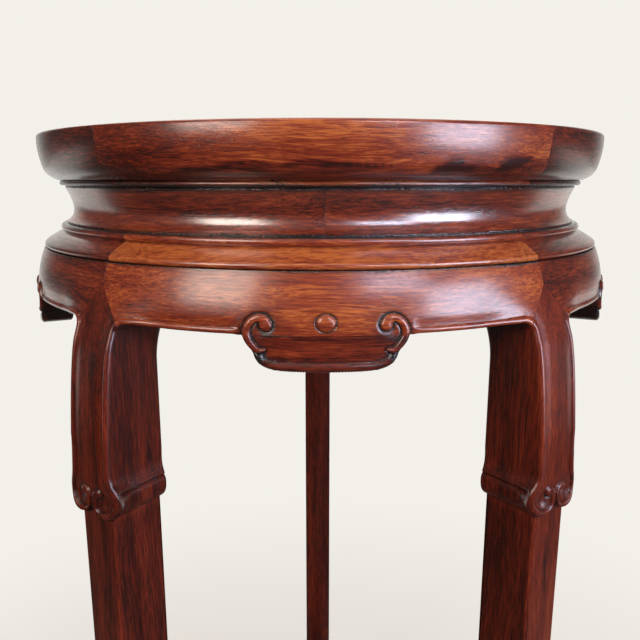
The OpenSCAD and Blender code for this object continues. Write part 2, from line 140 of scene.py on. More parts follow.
class StandSizes(PropertyGroup):
    """Sizes of the plain pieces."""

    frame_width: length("Frame width", "Radial width of a member of the top frame", 60)
    rim_round: length("Rim rounding", "Rounding of the rim's top edge", 2.2)
    rim_lean: length("Rim lean", "Inward lean of the rim's face", 2.7)
    rim_turn: length("Rim turn", "Drop at which the rim's face turns under", 21.8)
    rim_foot: length("Rim foot", "Drop at which the turned-under rim ends", 30.4)
    fillet_setback: length("Fillet set-back", "Distance of the fillet under the rim inside the rim", 12.7)
    waist_setback: length("Waist set-back", "Distance of the waist's edges inside the rim", 16.4)
    waist_hollow: length("Waist hollow", "Depth of the waist's hollow", 4.9)
    waist_thickness: length("Waist thickness", "Thickness of the waist at its hollow", 11)
    apron_swell: length("Apron swell", "Swell of the aprons beyond the rim", 6.5)
    apron_thickness: length("Apron thickness", "Thickness of an apron at its lower edge", 22)
    leg_width: length("Leg width", "Width of a leg above its knee", 33.5)
    leg_reach: length("Leg reach", "Distance of a leg's face beyond the rim", 22.5)
    leg_spring: length("Leg spring", "Distance of a leg's face beyond the aprons, close under them", 8.2)
    leg_spring_drop: length("Leg spring drop", "Distance below the aprons where that is reached", 8)
    leg_full_drop: length("Leg full drop", "Distance further down where a leg reaches out fully", 58)
    leg_depth: length("Leg depth", "Depth of a leg above its knee", 40)
    shank_width: length("Shank width", "Width of a leg below its knee", 28.5)
    leg_back_curve: length("Leg back curve", "Distance below the aprons where a leg's back curves in", 26)
    mitre_height: length("Mitre height", "Height of a leg's facing between the aprons", 20.5)
    edge_rise: length("Edge rise", "Rise of an apron's lower edge towards the legs", 1)
    shank_setback: length("Shank set-back", "Distance of the lower leg inside the upper leg's face", 3)
    shank_depth: length("Shank depth", "Depth of a leg below its knee", 35)
    post_depth: length("Post depth", "Depth of the leg's post behind the waist", 18)
    foot_height: length("Foot height", "Height of the hoof foot", 46)
    foot_pad: length("Foot pad", "Height of the upright pad of the hoof", 11)
    foot_turn: length("Foot turn", "Inward turn of the hoof foot", 9)
    shelf_round: length("Shelf rounding", "Rounding of the shelf's edges", 6)
    rail_width: length("Rail width", "Radial width of a shelf rail", 50)
    panel_gap: length("Panel gap", "Gap round a floating panel", 0.4)


class CarvingSizes(PropertyGroup):
    """Sizes of the beads, scrolls and joints."""

    bead_width: length("Bead width", "Width of the round bead along the aprons and legs", 4)
    bead_relief: length("Bead relief", "Height of a bead over the face", 0.6)
    cove_depth: length("Cove depth", "Depth of the cove beside a bead", 0.5)
    cove_width: length("Cove width", "Width of that cove", 6)
    edge_round: length("Edge rounding", "Rounding of a carved piece's free edges", 1.2)
    groove_depth: length("Groove depth", "Depth of the fine groove beside a scroll or button", 0.45)
    rope_width: length("Scroll width", "Width of the scrolls' rounded rope", 4.1)
    rope_relief: length("Scroll relief", "Height of the scrolls' rope over the field", 1.7)
    button_width: length("Button width", "Width of the button on a pendant", 10.4)
    button_height: length("Button height", "Height of the button, measured up and down", 9.2)
    button_relief: length("Button relief", "Height of the button over the field", 1.9)
    button_rise: length("Button rise", "Height of the button's centre over the apron's edge", 7)
    corner_round: length("Corner rounding", "Rounding of the openings' upper corners", 5)
    joint_ease: length("Joint easing", "Easing of a joint's edges", 0.2)


class WoodColours(PropertyGroup):
    """Colours of the hardwood, of what has settled on it, and of the painted shade in its hollows."""

    deep: colour("Deep", "Darkest streaks of the heartwood", "#2c0d08")
    heart: colour("Heart", "Heartwood", "#6a2414")
    warm: colour("Warm", "Warm heartwood", "#8a391d")
    pale: colour("Pale", "Orange streaks", "#b5622f")
    # Old wax and dust in the corners, and also the colour of the painted shade in hollows and under
    # overhangs
    crust_and_shade: colour("Crust", "Old wax and dust in the corners", "#140806")
    bare: colour("Bare", "Unwaxed wood under the panels", "#6b3a26")
    cane: colour("Cane", "Split bamboo of the pins", "#b58a52")


class StageSettings(PropertyGroup):
    """Camera, light and floor."""

    lens: FloatProperty(name="Lens", description="Focal length", default=37.07, min=10, unit="CAMERA")
    distance: length("Distance", "Level distance of the camera from the stand's axis", 546)
    drop: length("Drop", "Distance of the camera below the stand's top", 29.7)
    pitch: angle("Pitch", "Downward tilt of the camera", 12.07)
    azimuth: angle("Azimuth", "Azimuth of the camera", -0.84)
    key: power("Key light", "Power of the light at the right", 16)
    high: power("High light", "Power of the small light over it", 5)
    fill: power("Fill light", "Power of the light at the left", 8.2)
    back: power("Back light", "Power of the light behind", 17)
    above: power("Overhead light", "Power of the light above", 10)
    key_tint: colour("Key tint", "Colour of the two lights at the right", "#dfe7ff")
    fill_tint: colour("Fill tint", "Colour of the other lights", "#fff0e4")
    ambient: strength("Ambient", "Strength of the light from the front", 0.08)
    backdrop: strength("Backdrop", "Strength of the light from behind", 0.7)
    ground: colour("Ground", "Floor and background", "#f3f0ea")
    ground_shade: colour("Ground shade", "Floor as the stand's own wood sees it", "#57534c")


def mm(size):
    """Millimetres of a length that is kept in metres."""
    return size / MM


# Curves and fields


def smooth(x, low, high):
    """Rises smoothly from 0 at low to 1 at high."""
    s = np.clip((x - low) / (high - low), 0, 1)
    return s * s * (3 - 2 * s)


def near(x, level, width):
    """A soft peak of 1 at a level."""
    return np.exp(-((x - level) / width) ** 2)


def dome(share):
    """A round crown of 1 over a share of 0 that comes down to 0 at a share of 1."""
    return np.sqrt(np.clip(1 - share, 0, 1))


def arc(centre, radius, start, end, count=8):
    """Points of an arc in a section, angles counted from outwards to upwards."""
    a = np.radians(np.linspace(start, end, count))
    return np.stack([centre[0] + radius * np.cos(a), centre[1] - radius * np.sin(a)], 1)


def bend(p, c, q, count=12):
    """Points of a curve from p to q that is pulled towards c."""
    s = np.linspace(0, 1, count)[:, None]
    return (1 - s) ** 2 * np.array(p) + 2 * s * (1 - s) * np.array(c) + s ** 2 * np.array(q)


def through(points, count=12):
    """A smooth line through points, with so many steps between each two."""
    p = np.array(points, float)
    p = np.vstack([2 * p[0] - p[1], p, 2 * p[-1] - p[-2]])
    s = np.linspace(0, 1, count, endpoint=False)[:, None]
    runs = []
    for a, b, c, d in zip(p, p[1:], p[2:], p[3:]):
        runs.append(0.5 * (2 * b + (c - a) * s + (2 * a - 5 * b + 4 * c - d) * s ** 2
                           + (3 * b - a - 3 * c + d) * s ** 3))
    return np.vstack(runs + [p[-2:-1]])


def inset(section, amount):
    """A section drawn in by an amount, for the eased ends of a piece at its joints."""
    ahead = np.roll(section, -1, 0) - np.roll(section, 1, 0)
    normal = np.stack([ahead[:, 1], -ahead[:, 0]], 1)
    normal /= np.maximum(np.linalg.norm(normal, axis=1, keepdims=True), 1e-9)
    return section - amount * normal


def columns(values, count):
    """One value per row, repeated over so many columns."""
    return np.repeat(values[:, None], count, 1)


def place(azimuth, radius, across, drop):
    """Points in metres, from an azimuth, a radius, a distance across that azimuth and a drop."""
    a = np.radians(azimuth)
    reach = np.sqrt(np.maximum(radius ** 2 - across ** 2, 0))
    x = reach * np.sin(a) + across * np.cos(a)
    y = across * np.sin(a) - reach * np.cos(a)
    return np.stack(np.broadcast_arrays(x, y, HEIGHT - drop), -1) * MM


# Distance from one board's place in the figure to the next one's, so that no two boards look alike
BOARD_STEP = np.array([417.0, 93.0, 61.0])
# How many of those places are passed over before the first one of each kind of piece
BOARDS = {"top_frame": 0, "waist": 7, "shoulder_moulding": 13, "apron": 19, "pendant": 25, "leg": 31,
          "shelf_rail": 41, "panel": 52}
# Share of a curved board's depth that counts in its figure, because its fibres partly follow the curve
CURVED_FOLLOW = 0.3


def fibres(points, along, across, board, follow=1.0):
    """Coordinates in a board, in millimetres: along its fibres, across them, and a share of the depth."""
    along, across = np.array(along, float), np.array(across, float)
    axes = np.stack([along, across, follow * np.cross(along, across)], 1)
    return points / MM @ axes + board * BOARD_STEP


def curved_board(points, azimuth, board):
    """Fibre coordinates of a board sawn to a curve round an azimuth."""
    a = math.radians(azimuth)
    return fibres(points, (math.cos(a), math.sin(a), 0), (0, 0, 1), board, CURVED_FOLLOW)


# Meshes

# Angle of an edge, in degrees, over which it shows as sharp
SHARP_ANGLE = 38
# Step round a ring, in degrees, and what gathers at a member's end and just beside it
RING_STEP = 0.4
END_GRIME = 0.6
BESIDE_END_GRIME = 0.25


def loft(node, points, grain, tone, grime, material, slot):
    """A closed skin over a stack of closed loops, which stands for a solid of the frame."""
    rows, loop = points.shape[:2]
    index = np.arange(rows * loop).reshape(rows, loop)
    ahead = np.roll(index, -1, 1)
    quads = np.stack([index[:-1], ahead[:-1], ahead[1:], index[1:]], -1).reshape(-1, 4).tolist()
    caps = [index[0].tolist(), index[-1][::-1].tolist()]
    mesh = bpy.data.meshes.new(f"{node}_wood")
    mesh.from_pydata(points.reshape(-1, 3).tolist(), [], quads + caps)
    for key, kind, field, values in (("grain", "FLOAT_VECTOR", "vector", grain),
                                     ("tone", "FLOAT", "value", tone), ("grime", "FLOAT", "value", grime)):
        layer = mesh.attributes.new(key, kind, "POINT")
        layer.data.foreach_set(field, np.ascontiguousarray(values, np.float32).ravel())
    skin = bmesh.new()
    skin.from_mesh(mesh)
    bmesh.ops.remove_doubles(skin, verts=skin.verts, dist=2e-6)
    bmesh.ops.dissolve_degenerate(skin, edges=skin.edges, dist=1e-6)
    bmesh.ops.recalc_face_normals(skin, faces=skin.faces)
    for face in skin.faces:
        face.smooth = True
    skin.to_mesh(mesh)
    skin.free()
    mesh.set_sharp_from_angle(angle=math.radians(SHARP_ANGLE))
    mesh.materials.append(material)
    piece = bpy.data.objects.new(f"{node}_wood", mesh)
    bpy.context.scene.collection.objects.link(piece)
    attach(piece, "root")
    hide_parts(node)


def ring(name, section, joints, ease, finish, grime, tone, front_tone=None):
    """Curved members from joint to joint, with eased ends and a finish, which is a material and a slot name
    that is not used.

    Tone, and grime with painted shade, are functions of azimuth, radius and drop.
    A front tone is for the first member only.
    """
    step = math.degrees(ease / RIM_R)
    for number, (start, end) in enumerate(zip(joints, joints[1:]), 1):
        between = np.linspace(start + 4 * step, end - 4 * step, int((end - start) / RING_STEP))
        azimuth = np.concatenate([[start, start + step], between, [end - step, end]])
        sections = np.repeat(section[None], len(azimuth), 0)
        sections[[0, -1]] = inset(section, ease)
        field = (columns(azimuth, len(section)), sections[..., 0], sections[..., 1])
        plain = np.zeros(field[0].shape)
        dirt_and_shade = plain + grime(*field)
        dirt_and_shade[[0, -1]] += END_GRIME
        dirt_and_shade[[1, -2]] += BESIDE_END_GRIME
        shade = front_tone if front_tone and number == 1 else tone
        points = place(field[0], field[1], 0, field[2])
        grain = curved_board(points, (start + end) / 2, BOARDS[name] + number)
        loft(f"{name}_{number}", points, grain, plain + shade(*field), dirt_and_shade, *finish)


# Materials


def add_node(tree, kind, inputs, **settings):
    """Adds a node, with its settings, and gives each input a value or a link."""
    node = tree.nodes.new(kind)
    for key, value in settings.items():
        setattr(node, key, value)
    for key, value in inputs.items():
        if isinstance(value, NodeSocket):
            tree.links.new(value, node.inputs[key])
        else:
            node.inputs[key].default_value = value
    return node


def opaque(shade):
    """A colour with its alpha."""
    return (*shade, 1)


# Figure of the rosewood: length along the fibres and width across them in millimetres, detail and
# roughness. Single fibres and pores are finer than a pixel of a close view, about 0.2 mm. They are drawn
# two or three times as wide so that they show.
FIGURE = {"wander": (130, 28, 2, 0.5), "fibres": (11, 0.5, 2, 0.6), "streaks": (30, 1.3, 4, 0.6),
          "bands": (240, 11, 3, 0.5), "patches": (85, 42, 2, 0.5), "pores": (5.5, 0.42, 2, 0.5),
          "crumbs": (2.4, 1.3, 4, 0.7), "drifts": (48, 30, 2, 0.5)}
# How far the fibres wander, in millimetres
WANDER = 13
# How much each part of the figure lightens or darkens the wood, and how much it varies the crust
FIGURE_SWING = {"fibres": 0.24, "streaks": 0.26, "bands": 0.2, "patches": 0.1}
CRUST_SWING = {"crumbs": 0.4, "drifts": 0.35}
# Values between which most of the noise lies
NOISE_SPAN = {"From Min": 0.3, "From Max": 0.7}
# Where the noise of the pores opens a pore, and how dark that is
PORES = {"From Min": 0.57, "From Max": 0.69, "To Max": 0.6}
# The grime-and-shade level first darkens the wood evenly, as painted shade in hollows, creases and under
# overhangs and as old wax; where it is high, old wax stands in it as crumbs
WAX_AND_SHADE = {"From Min": 0.05, "From Max": 0.9, "To Max": 0.8}
SETTLED = {"From Min": 0.72, "From Max": 0.95}
# Shade of plain heartwood, and the places of the two middle colours between the darkest and the palest
PLAIN_SHADE = 0.5
HEART_STOP = 0.38
WARM_STOP = 0.66
# Roughness of the wood under the wax, from its dark to its light streaks, and what crust adds to it
POLISH = {"To Min": 0.38, "To Max": 0.28}
CRUST_ROUGHNESS = 0.35
# Values that are the same all over the waxed wood
WAXED = {"IOR": 1.5, "Specular IOR Level": 0.3, "Coat Weight": 0.85, "Coat Roughness": 0.2}
# Relief of pores and crumbs against that of the streaks, and depth of the whole in millimetres
PORE_RELIEF = -0.8
CRUMB_RELIEF = 4.0
WOOD_RELIEF = 0.1


def wood_figure(tree, coarse):
    """The parts of the rosewood's figure, each a noise in the board's own millimetres."""
    board = add_node(tree, "ShaderNodeAttribute", {}, attribute_name="grain").outputs["Vector"]
    figure = {}
    for key, (along, across, detail, roughness) in FIGURE.items():
        across = across * coarse
        scaled = add_node(tree, "ShaderNodeVectorMath",
                          {0: board, 1: (1 / along, 1 / across, 1 / across)}, operation="MULTIPLY")
        noise = add_node(tree, "ShaderNodeTexNoise", {"Vector": scaled.outputs[0], "Scale": 1.0,
                                                      "Detail": detail, "Roughness": roughness})
        figure[key] = noise.outputs["Fac"]
        if key == "wander":
            bent = add_node(tree, "ShaderNodeVectorMath",
                            {0: noise.outputs["Color"], 1: (0, WANDER, WANDER), 2: board},
                            operation="MULTIPLY_ADD")
            board = bent.outputs[0]
    return figure


def varied(tree, level, figure, swings, contrast=1.0):
    """A level that parts of the figure raise and lower."""
    for key, swing in swings.items():
        swing = swing * contrast
        part = add_node(tree, "ShaderNodeMapRange", {"Value": figure[key], **NOISE_SPAN, "To Min": -swing,
                                                     "To Max": swing})
        level = add_node(tree, "ShaderNodeMath", {0: level, 1: part.outputs["Result"]},
                         operation="ADD").outputs[0]
    return level


def waxed_rosewood(name, colours, contrast=1.0, coarse=1.0, gloss=1.5):
    """Rosewood, planed or carved, then stained by age and waxed.

    Gives the eye long fine streaks along the fibres, wider dark bands of growth, short open pores, patches
    that are redder or more orange, a glossy old wax, an even darkening that is painted shade in hollows,
    creases and under overhangs as well as old wax, and dull dark crust where that wax has settled. Gloss
    is the wax's refractive index, higher where it was rubbed more.
    """
    material = bpy.data.materials.get(name)
    if material:
        return material
    material = bpy.data.materials.new(name)
    material.use_nodes = True
    tree = material.node_tree
    shader = tree.nodes["Principled BSDF"]
    for socket, value in {**WAXED, "Coat IOR": gloss}.items():
        shader.inputs[socket].default_value = value
    tone = add_node(tree, "ShaderNodeAttribute", {}, attribute_name="tone").outputs["Fac"]
    grime = add_node(tree, "ShaderNodeAttribute", {}, attribute_name="grime").outputs["Fac"]
    figure = wood_figure(tree, coarse)

    shade = add_node(tree, "ShaderNodeMath", {0: tone, 1: PLAIN_SHADE}, operation="ADD").outputs[0]
    shade = varied(tree, shade, figure, FIGURE_SWING, contrast)
    ramp = add_node(tree, "ShaderNodeValToRGB", {"Fac": shade})
    stops = ramp.color_ramp.elements
    stops[0].color = opaque(colours.deep)
    stops[1].color = opaque(colours.pale)
    stops.new(HEART_STOP).color = opaque(colours.heart)
    stops.new(WARM_STOP).color = opaque(colours.warm)

    crust_and_shade = varied(tree, grime, figure, CRUST_SWING)
    pores = add_node(tree, "ShaderNodeMapRange", {"Value": figure["pores"], **PORES}).outputs["Result"]
    # Painted shade and old wax: the grime-and-shade level darkens the wood evenly towards the crust colour
    wax_and_shade = add_node(tree, "ShaderNodeMapRange", {"Value": grime, **WAX_AND_SHADE}).outputs["Result"]
    settled = add_node(tree, "ShaderNodeMapRange", {"Value": crust_and_shade, **SETTLED},
                       interpolation_type="SMOOTHSTEP").outputs["Result"]
    shown = ramp.outputs["Color"]
    for share, over in ((pores, colours.deep), (wax_and_shade, colours.crust_and_shade), (settled, colours.crust_and_shade)):
        shown = add_node(tree, "ShaderNodeMix", {"Factor": share, "A": shown, "B": opaque(over)},
                         data_type="RGBA").outputs["Result"]
    tree.links.new(shown, shader.inputs["Base Color"])

    polish = add_node(tree, "ShaderNodeMapRange", {"Value": figure["streaks"], **NOISE_SPAN, **POLISH})
    rough = add_node(tree, "ShaderNodeMath", {0: settled, 1: CRUST_ROUGHNESS, 2: polish.outputs["Result"]},
                     operation="MULTIPLY_ADD")
    tree.links.new(rough.outputs[0], shader.inputs["Roughness"])
    sunk = add_node(tree, "ShaderNodeMath", {0: pores, 1: PORE_RELIEF, 2: figure["streaks"]},
                    operation="MULTIPLY_ADD")
    heaped = add_node(tree, "ShaderNodeMath", {0: settled, 1: figure["crumbs"]}, operation="MULTIPLY")
    relief = add_node(tree, "ShaderNodeMath", {0: heaped.outputs[0], 1: CRUMB_RELIEF, 2: sunk.outputs[0]},
                      operation="MULTIPLY_ADD")
    bump = add_node(tree, "ShaderNodeBump", {"Height": relief.outputs[0], "Strength": 0.4,
                                             "Distance": WOOD_RELIEF * MM})
    for socket in ("Normal", "Coat Normal"):
        tree.links.new(bump.outputs["Normal"], shader.inputs[socket])
    return material


# Bare wood: a fibre's length against its width, how dark its darkest fibres are against its colour, the
# relief of its fibres in millimetres and its roughness
BARE_STRETCH = 25
BARE_DARK = 0.55
BARE_RELIEF = 0.2
BARE_ROUGHNESS = 0.68


def bare_wood(name, shade, along, streak):
    """Hardwood or bamboo that was planed or split and left bare: dull, with plain fibres along one axis.

    The streak is a fibre's width in millimetres.
    """
    material = bpy.data.materials.new(name)
    material.use_nodes = True
    tree = material.node_tree
    shader = tree.nodes["Principled BSDF"]
    place_in_stand = add_node(tree, "ShaderNodeTexCoord", {}).outputs["Object"]
    across = 1 / (streak * MM)
    scale = [across / BARE_STRETCH if axis == along else across for axis in range(3)]
    scaled = add_node(tree, "ShaderNodeVectorMath", {0: place_in_stand, 1: scale}, operation="MULTIPLY")
    fibre = add_node(tree, "ShaderNodeTexNoise", {"Vector": scaled.outputs[0], "Scale": 1.0, "Detail": 4.0})
    ramp = add_node(tree, "ShaderNodeValToRGB", {"Fac": fibre.outputs["Fac"]})
    darkest, palest = ramp.color_ramp.elements
    darkest.position = NOISE_SPAN["From Min"]
    palest.position = NOISE_SPAN["From Max"]
    darkest.color = opaque([c * BARE_DARK for c in shade])
    palest.color = opaque(shade)
    tree.links.new(ramp.outputs["Color"], shader.inputs["Base Color"])
    shader.inputs["Roughness"].default_value = BARE_ROUGHNESS
    bump = add_node(tree, "ShaderNodeBump", {"Height": fibre.outputs["Fac"], "Strength": 0.3,
                                             "Distance": BARE_RELIEF * MM})
    tree.links.new(bump.outputs["Normal"], shader.inputs["Normal"])
    return material


# Shared shapes

# Shares of an apron's height: where its swell is pulled out, and where a leg leaves its face
SWELL_SHARE = 0.45
LEAVING_SHARE = 0.34
# Distances from a leg's middle over which an apron's face sweeps out into the leg, and its edge rises
FLARE_SPAN = (14, 46)
RISE_SPAN = (20, 50)


def apron_full(sizes):
    """Radius of the aprons' face at their lower edge."""
    return RIM_R + mm(sizes.apron_swell)


def waist_back(sizes):
    """Radius of the waist's back, which is also the moulding's."""
    return RIM_R - mm(sizes.waist_setback) - mm(sizes.waist_hollow) - mm(sizes.waist_thickness)


def shank_face(sizes):
    """Radius of a leg's face below its knee."""
    return RIM_R + mm(sizes.leg_reach) - mm(sizes.shank_setback)


def shelf_edge(sizes):
    """Radius of the shelf, which fits between the legs."""
    return shank_face(sizes) - mm(sizes.shank_depth) - FIT


def apron_radius(sizes, drop):
    """Radius of the aprons' face at a drop."""
    full = apron_full(sizes)
    pulled = APRON_TOP + SWELL_SHARE * (APRON_EDGE - APRON_TOP)
    line = bend((RIM_R, APRON_TOP), (full, pulled), (full, APRON_EDGE), 60)
    return np.interp(drop, line[:, 1], line[:, 0])


def leg_radius(sizes, drop):
    """Radius of a leg's face at a drop, from where it leaves the aprons' face to the knee."""
    full = RIM_R + mm(sizes.leg_reach)
    apron = apron_full(sizes)
    start_drop = APRON_TOP + LEAVING_SHARE * (APRON_EDGE - APRON_TOP)
    start = (float(apron_radius(sizes, start_drop)), start_drop)
    spring = (apron + mm(sizes.leg_spring), APRON_EDGE + mm(sizes.leg_spring_drop))
    quick_bend = (apron + mm(sizes.leg_spring) * 2 / 3, APRON_EDGE)
    slow_bend = ((spring[0] + full) / 2, spring[1] + mm(sizes.leg_spring_drop))
    line = np.vstack([bend(start, quick_bend, spring, 40),
                      bend(spring, slow_bend, (full, spring[1] + mm(sizes.leg_full_drop)), 40)[1:]])
    return np.where(drop < start[1], apron_radius(sizes, drop), np.interp(drop, line[:, 1], line[:, 0]))


def flare(sizes, across, drop):
    """Radius of the face where an apron sweeps out into a leg, at a distance from the leg's middle."""
    share = 1 - smooth(np.abs(across), *FLARE_SPAN)
    low = apron_radius(sizes, drop)
    return low + (leg_radius(sizes, drop) - low) * share


def edge_lift(sizes, across):
    """Height by which the upper edge of the opening between two legs has risen, near a leg."""
    return mm(sizes.edge_rise) * (1 - smooth(np.abs(across), *RISE_SPAN))


def corner_end(sizes, carving):
    """Drop at which the opening's rounded corner has turned into a leg's edge."""
    return APRON_EDGE - mm(sizes.edge_rise) + mm(carving.corner_round)


def mitre_foot(sizes, carving):
    """Where a mitre ends in the opening's rounded corner: distance from the leg's middle, and drop."""
    corner = mm(carving.corner_round) * (1 - math.sqrt(0.5))
    return mm(sizes.leg_width) / 2 + corner, APRON_EDGE - mm(sizes.edge_rise) + corner


def mitre_drop(sizes, carving, across):
    """Drop of the mitre between an apron and a leg, at a distance from the leg's middle."""
    apex = APRON_EDGE - mm(sizes.mitre_height)
    foot_across, foot_drop = mitre_foot(sizes, carving)
    return apex + np.abs(across) * (foot_drop - apex) / foot_across


def opening_distance(sizes, carving, across, drop):
    """Distance to the edge of the opening between two legs, with its rounded upper corner."""
    half = mm(sizes.leg_width) / 2
    turn = mm(carving.corner_round)
    side = np.abs(across)
    drop = drop + edge_lift(sizes, across)
    corner = np.hypot(np.minimum(side - half - turn, 0), np.minimum(drop - APRON_EDGE - turn, 0)) - turn
    plain = np.where(side > half + turn, APRON_EDGE - drop, half - side)
    return np.where((side < half + turn) & (drop < APRON_EDGE + turn), corner, plain)


def bead(carving, depth, width):
    """Relief of a round bead at a depth in from a free edge, and of the cove beside it."""
    radius = width / 2
    x = np.clip(depth / radius - 1, -1, 1)
    crown = mm(carving.bead_relief) - radius * (1 - np.sqrt(1 - x * x))
    cove = -mm(carving.cove_depth) * (1 - smooth(depth, 0.9 * width, width + mm(carving.cove_width)))
    return np.where(depth < radius, crown, np.maximum(crown, cove))


def rope(across, drop, path, half_width):
    """Share of a scroll's half width at which each point lies from the scroll's middle line."""
    points = np.stack([across.ravel(), drop.ravel()], 1)
    best = np.full(len(points), 1e9)
    for (x, y), half in zip(path, half_width):
        best = np.minimum(best, np.hypot(points[:, 0] - x, points[:, 1] - y) / half)
    return best.reshape(across.shape)


# Middle line of a pendant's scroll on one side, and the pendant's lower outline on that side.
# Each point is a distance from the pendant's middle and a distance below the apron's edge.
SCROLL = [(31.4, -5.6), (32.2, -7.8), (34.6, -9.4), (38, -8.6), (41, -5.2), (42, -1.5), (40.9, 2.4),
          (38, 6), (35, 8), (32.4, 7.4)]
SCROLL_SWELL = [1.65, 1.45, 1.05, 1, 1.05, 1.1, 1.1, 1, 0.85, 0.5]
OUTLINE = [(0, 19.4), (20.4, 19.2), (27, 18.8), (31.8, 17.6), (35.7, 15.4), (37.7, 12.5), (38.1, 10.4),
           (38.7, 9), (41.6, 5.2), (43.8, 1.2), (45.2, -0.4)]
# Middle and width of the grooves round a scroll and round the button, as shares of their half widths
SCROLL_GROOVE = (1.15, 0.28)
BUTTON_GROOVE = (1.06, 0.1)
# The bead along a pendant's edge against other beads, and where it begins under the scrolls
PENDANT_BEAD = 1.25
BEAD_SIDES = (38.5, 37)
BEAD_BEGINS = (7, 10)
# Distance from a pendant's edge over which that edge is rounded, and depth of the field's hollows
PENDANT_EASE = 1.6
FIELD_HOLLOW = 0.5
# Place of the notch under a scroll, and level below which the edge's bead gathers grime
NOTCH = (35.5, 11.6)
BEAD_SOILED = 8
# Darkening on a pendant: painted shade in the grooves of scroll and button, inside the bead, around the
# scroll and the button, and in the notch; and old wax on the bead
PENDANT_GRIME_AND_SHADE = {"scroll": 0.85, "button": 0.8, "inside": 0.6, "around_scroll": 0.42, "around_button": 0.3,
                 "notch": 0.8, "bead": 0.38}
# The joint between an apron and its pendant: grime along it, and its half length inside the scrolls
PENDANT_JOINT_GRIME = 0.6
PENDANT_JOINT = 34


def pendant_outline(across):
    """Drop of a pendant's lower outline at a distance from its middle."""
    line = through(OUTLINE, 14)
    return APRON_EDGE + np.interp(np.abs(across), line[:, 0], line[:, 1])


def pendant_relief(carving, across, drop):
    """Relief of the carving on a pendant, and the grime and painted shade in its hollows."""
    side = np.abs(across)
    below = drop - APRON_EDGE
    path = through(SCROLL)
    swell = np.interp(np.linspace(0, 1, len(path)), np.linspace(0, 1, len(SCROLL_SWELL)), SCROLL_SWELL)
    share = rope(side, below, path, swell * mm(carving.rope_width) / 2)
    button = np.hypot(across / mm(carving.button_width) * 2,
                      (below + mm(carving.button_rise)) / mm(carving.button_height) * 2)
    edge = np.full(across.shape, 1e9)
    for x, y in through(OUTLINE, 14):
        edge = np.minimum(edge, np.hypot(side - x, below - y))

    raised = np.maximum(mm(carving.rope_relief) * dome(share ** 2),
                        mm(carving.button_relief) * dome(button ** 2.4))
    groove = near(share, *SCROLL_GROOVE)
    button_groove = near(button, *BUTTON_GROOVE)
    rim = bead(carving, edge, PENDANT_BEAD * mm(carving.bead_width))
    rim = rim * smooth(side, *BEAD_SIDES) * smooth(below, *BEAD_BEGINS)
    rounding = 1 - np.sqrt(1 - np.clip(1 - edge / PENDANT_EASE, 0, 1) ** 2)
    ease = -mm(carving.edge_round) * rounding * (below > -0.5)
    hollow = -FIELD_HOLLOW * smooth(below, 1, 9) * smooth(edge, 3, 8)
    hollow = hollow - FIELD_HOLLOW * near(side, 36, 3.4) * near(below, -2.5, 4.5)
    relief = raised + np.where(share < 1.2, 0, rim) + np.where(share < 1, 0.6 * ease, ease * 0.5)
    relief = relief + hollow * (share > 1)
    relief = relief - mm(carving.groove_depth) * (groove * (share > 0.9) + button_groove)

    # Painted shade in the grooves, inside the bead, round the scroll and the button and in the notch
    darkening = PENDANT_GRIME_AND_SHADE
    grime = darkening["scroll"] * groove * (share > 0.8) + darkening["button"] * button_groove * (button > 0.85)
    grime = grime + darkening["inside"] * near(edge, 5.2, 1) * (below > BEAD_SOILED)
    grime = grime + darkening["around_scroll"] * near(share, 1.2, 1.5) * (share > 1)
    grime = grime + darkening["around_button"] * near(button, 1.1, 0.35) * (button > 1)
    grime = grime + darkening["notch"] * near(side, NOTCH[0], 3) * near(below, NOTCH[1], 2.4)
    grime = grime + darkening["bead"] * near(edge, 2, 2.4) * (below > BEAD_SOILED)
    return relief, grime


class StandOperator:
    """What the operators of this stand share."""

    bl_options = {"REGISTER", "UNDO"}

    def settings(self, context):
        """The sizes, the carving and the colours that a user has set."""
        scene = context.scene
        return scene.stand_sizes, scene.stand_carving, scene.stand_colours


# Profile of the rim: how far its face is pulled out, how far in and down its turned-under part is pulled,
# the step in to the fillet, and the room above and below the fillet's round
RIM_PULL = 0.5
UNDER_PULL = (1.8, 5.7)
FILLET_STEP = 0.7
FILLET_JOINT = 0.1
# Dark streaks low on the front of the rim: half the width of each, and points that are a distance along
# the rim from the middle of the front and a drop
RIM_FIGURE = [(1.3, [(-99, 28), (-73, 25.6), (-55, 23), (-33, 20.4)]),
              (1.3, [(-24, 22.8), (-8, 21.4), (10, 22.6), (36, 23.2)]),
              (2.4, [(57, 26.5), (67, 22.8), (74, 20.4)]),
              (2.8, [(99, 24.4), (108, 20.4), (121, 18)])]
# Tones of the rim: its plain members, the front one at its left end and what that gains over a span of
# azimuths, the streaks, the wood below the streaks, and painted shade on the turned-under part
RIM_TONE = {"plain": -0.33, "left": -0.18, "gain": 0.34, "streak": -0.6, "below": -0.34, "under": -0.12}
RIM_WARMS = (-30, -8)
# Painted shade on the turned-under part of the rim
RIM_UNDER_SHADE = 0.45


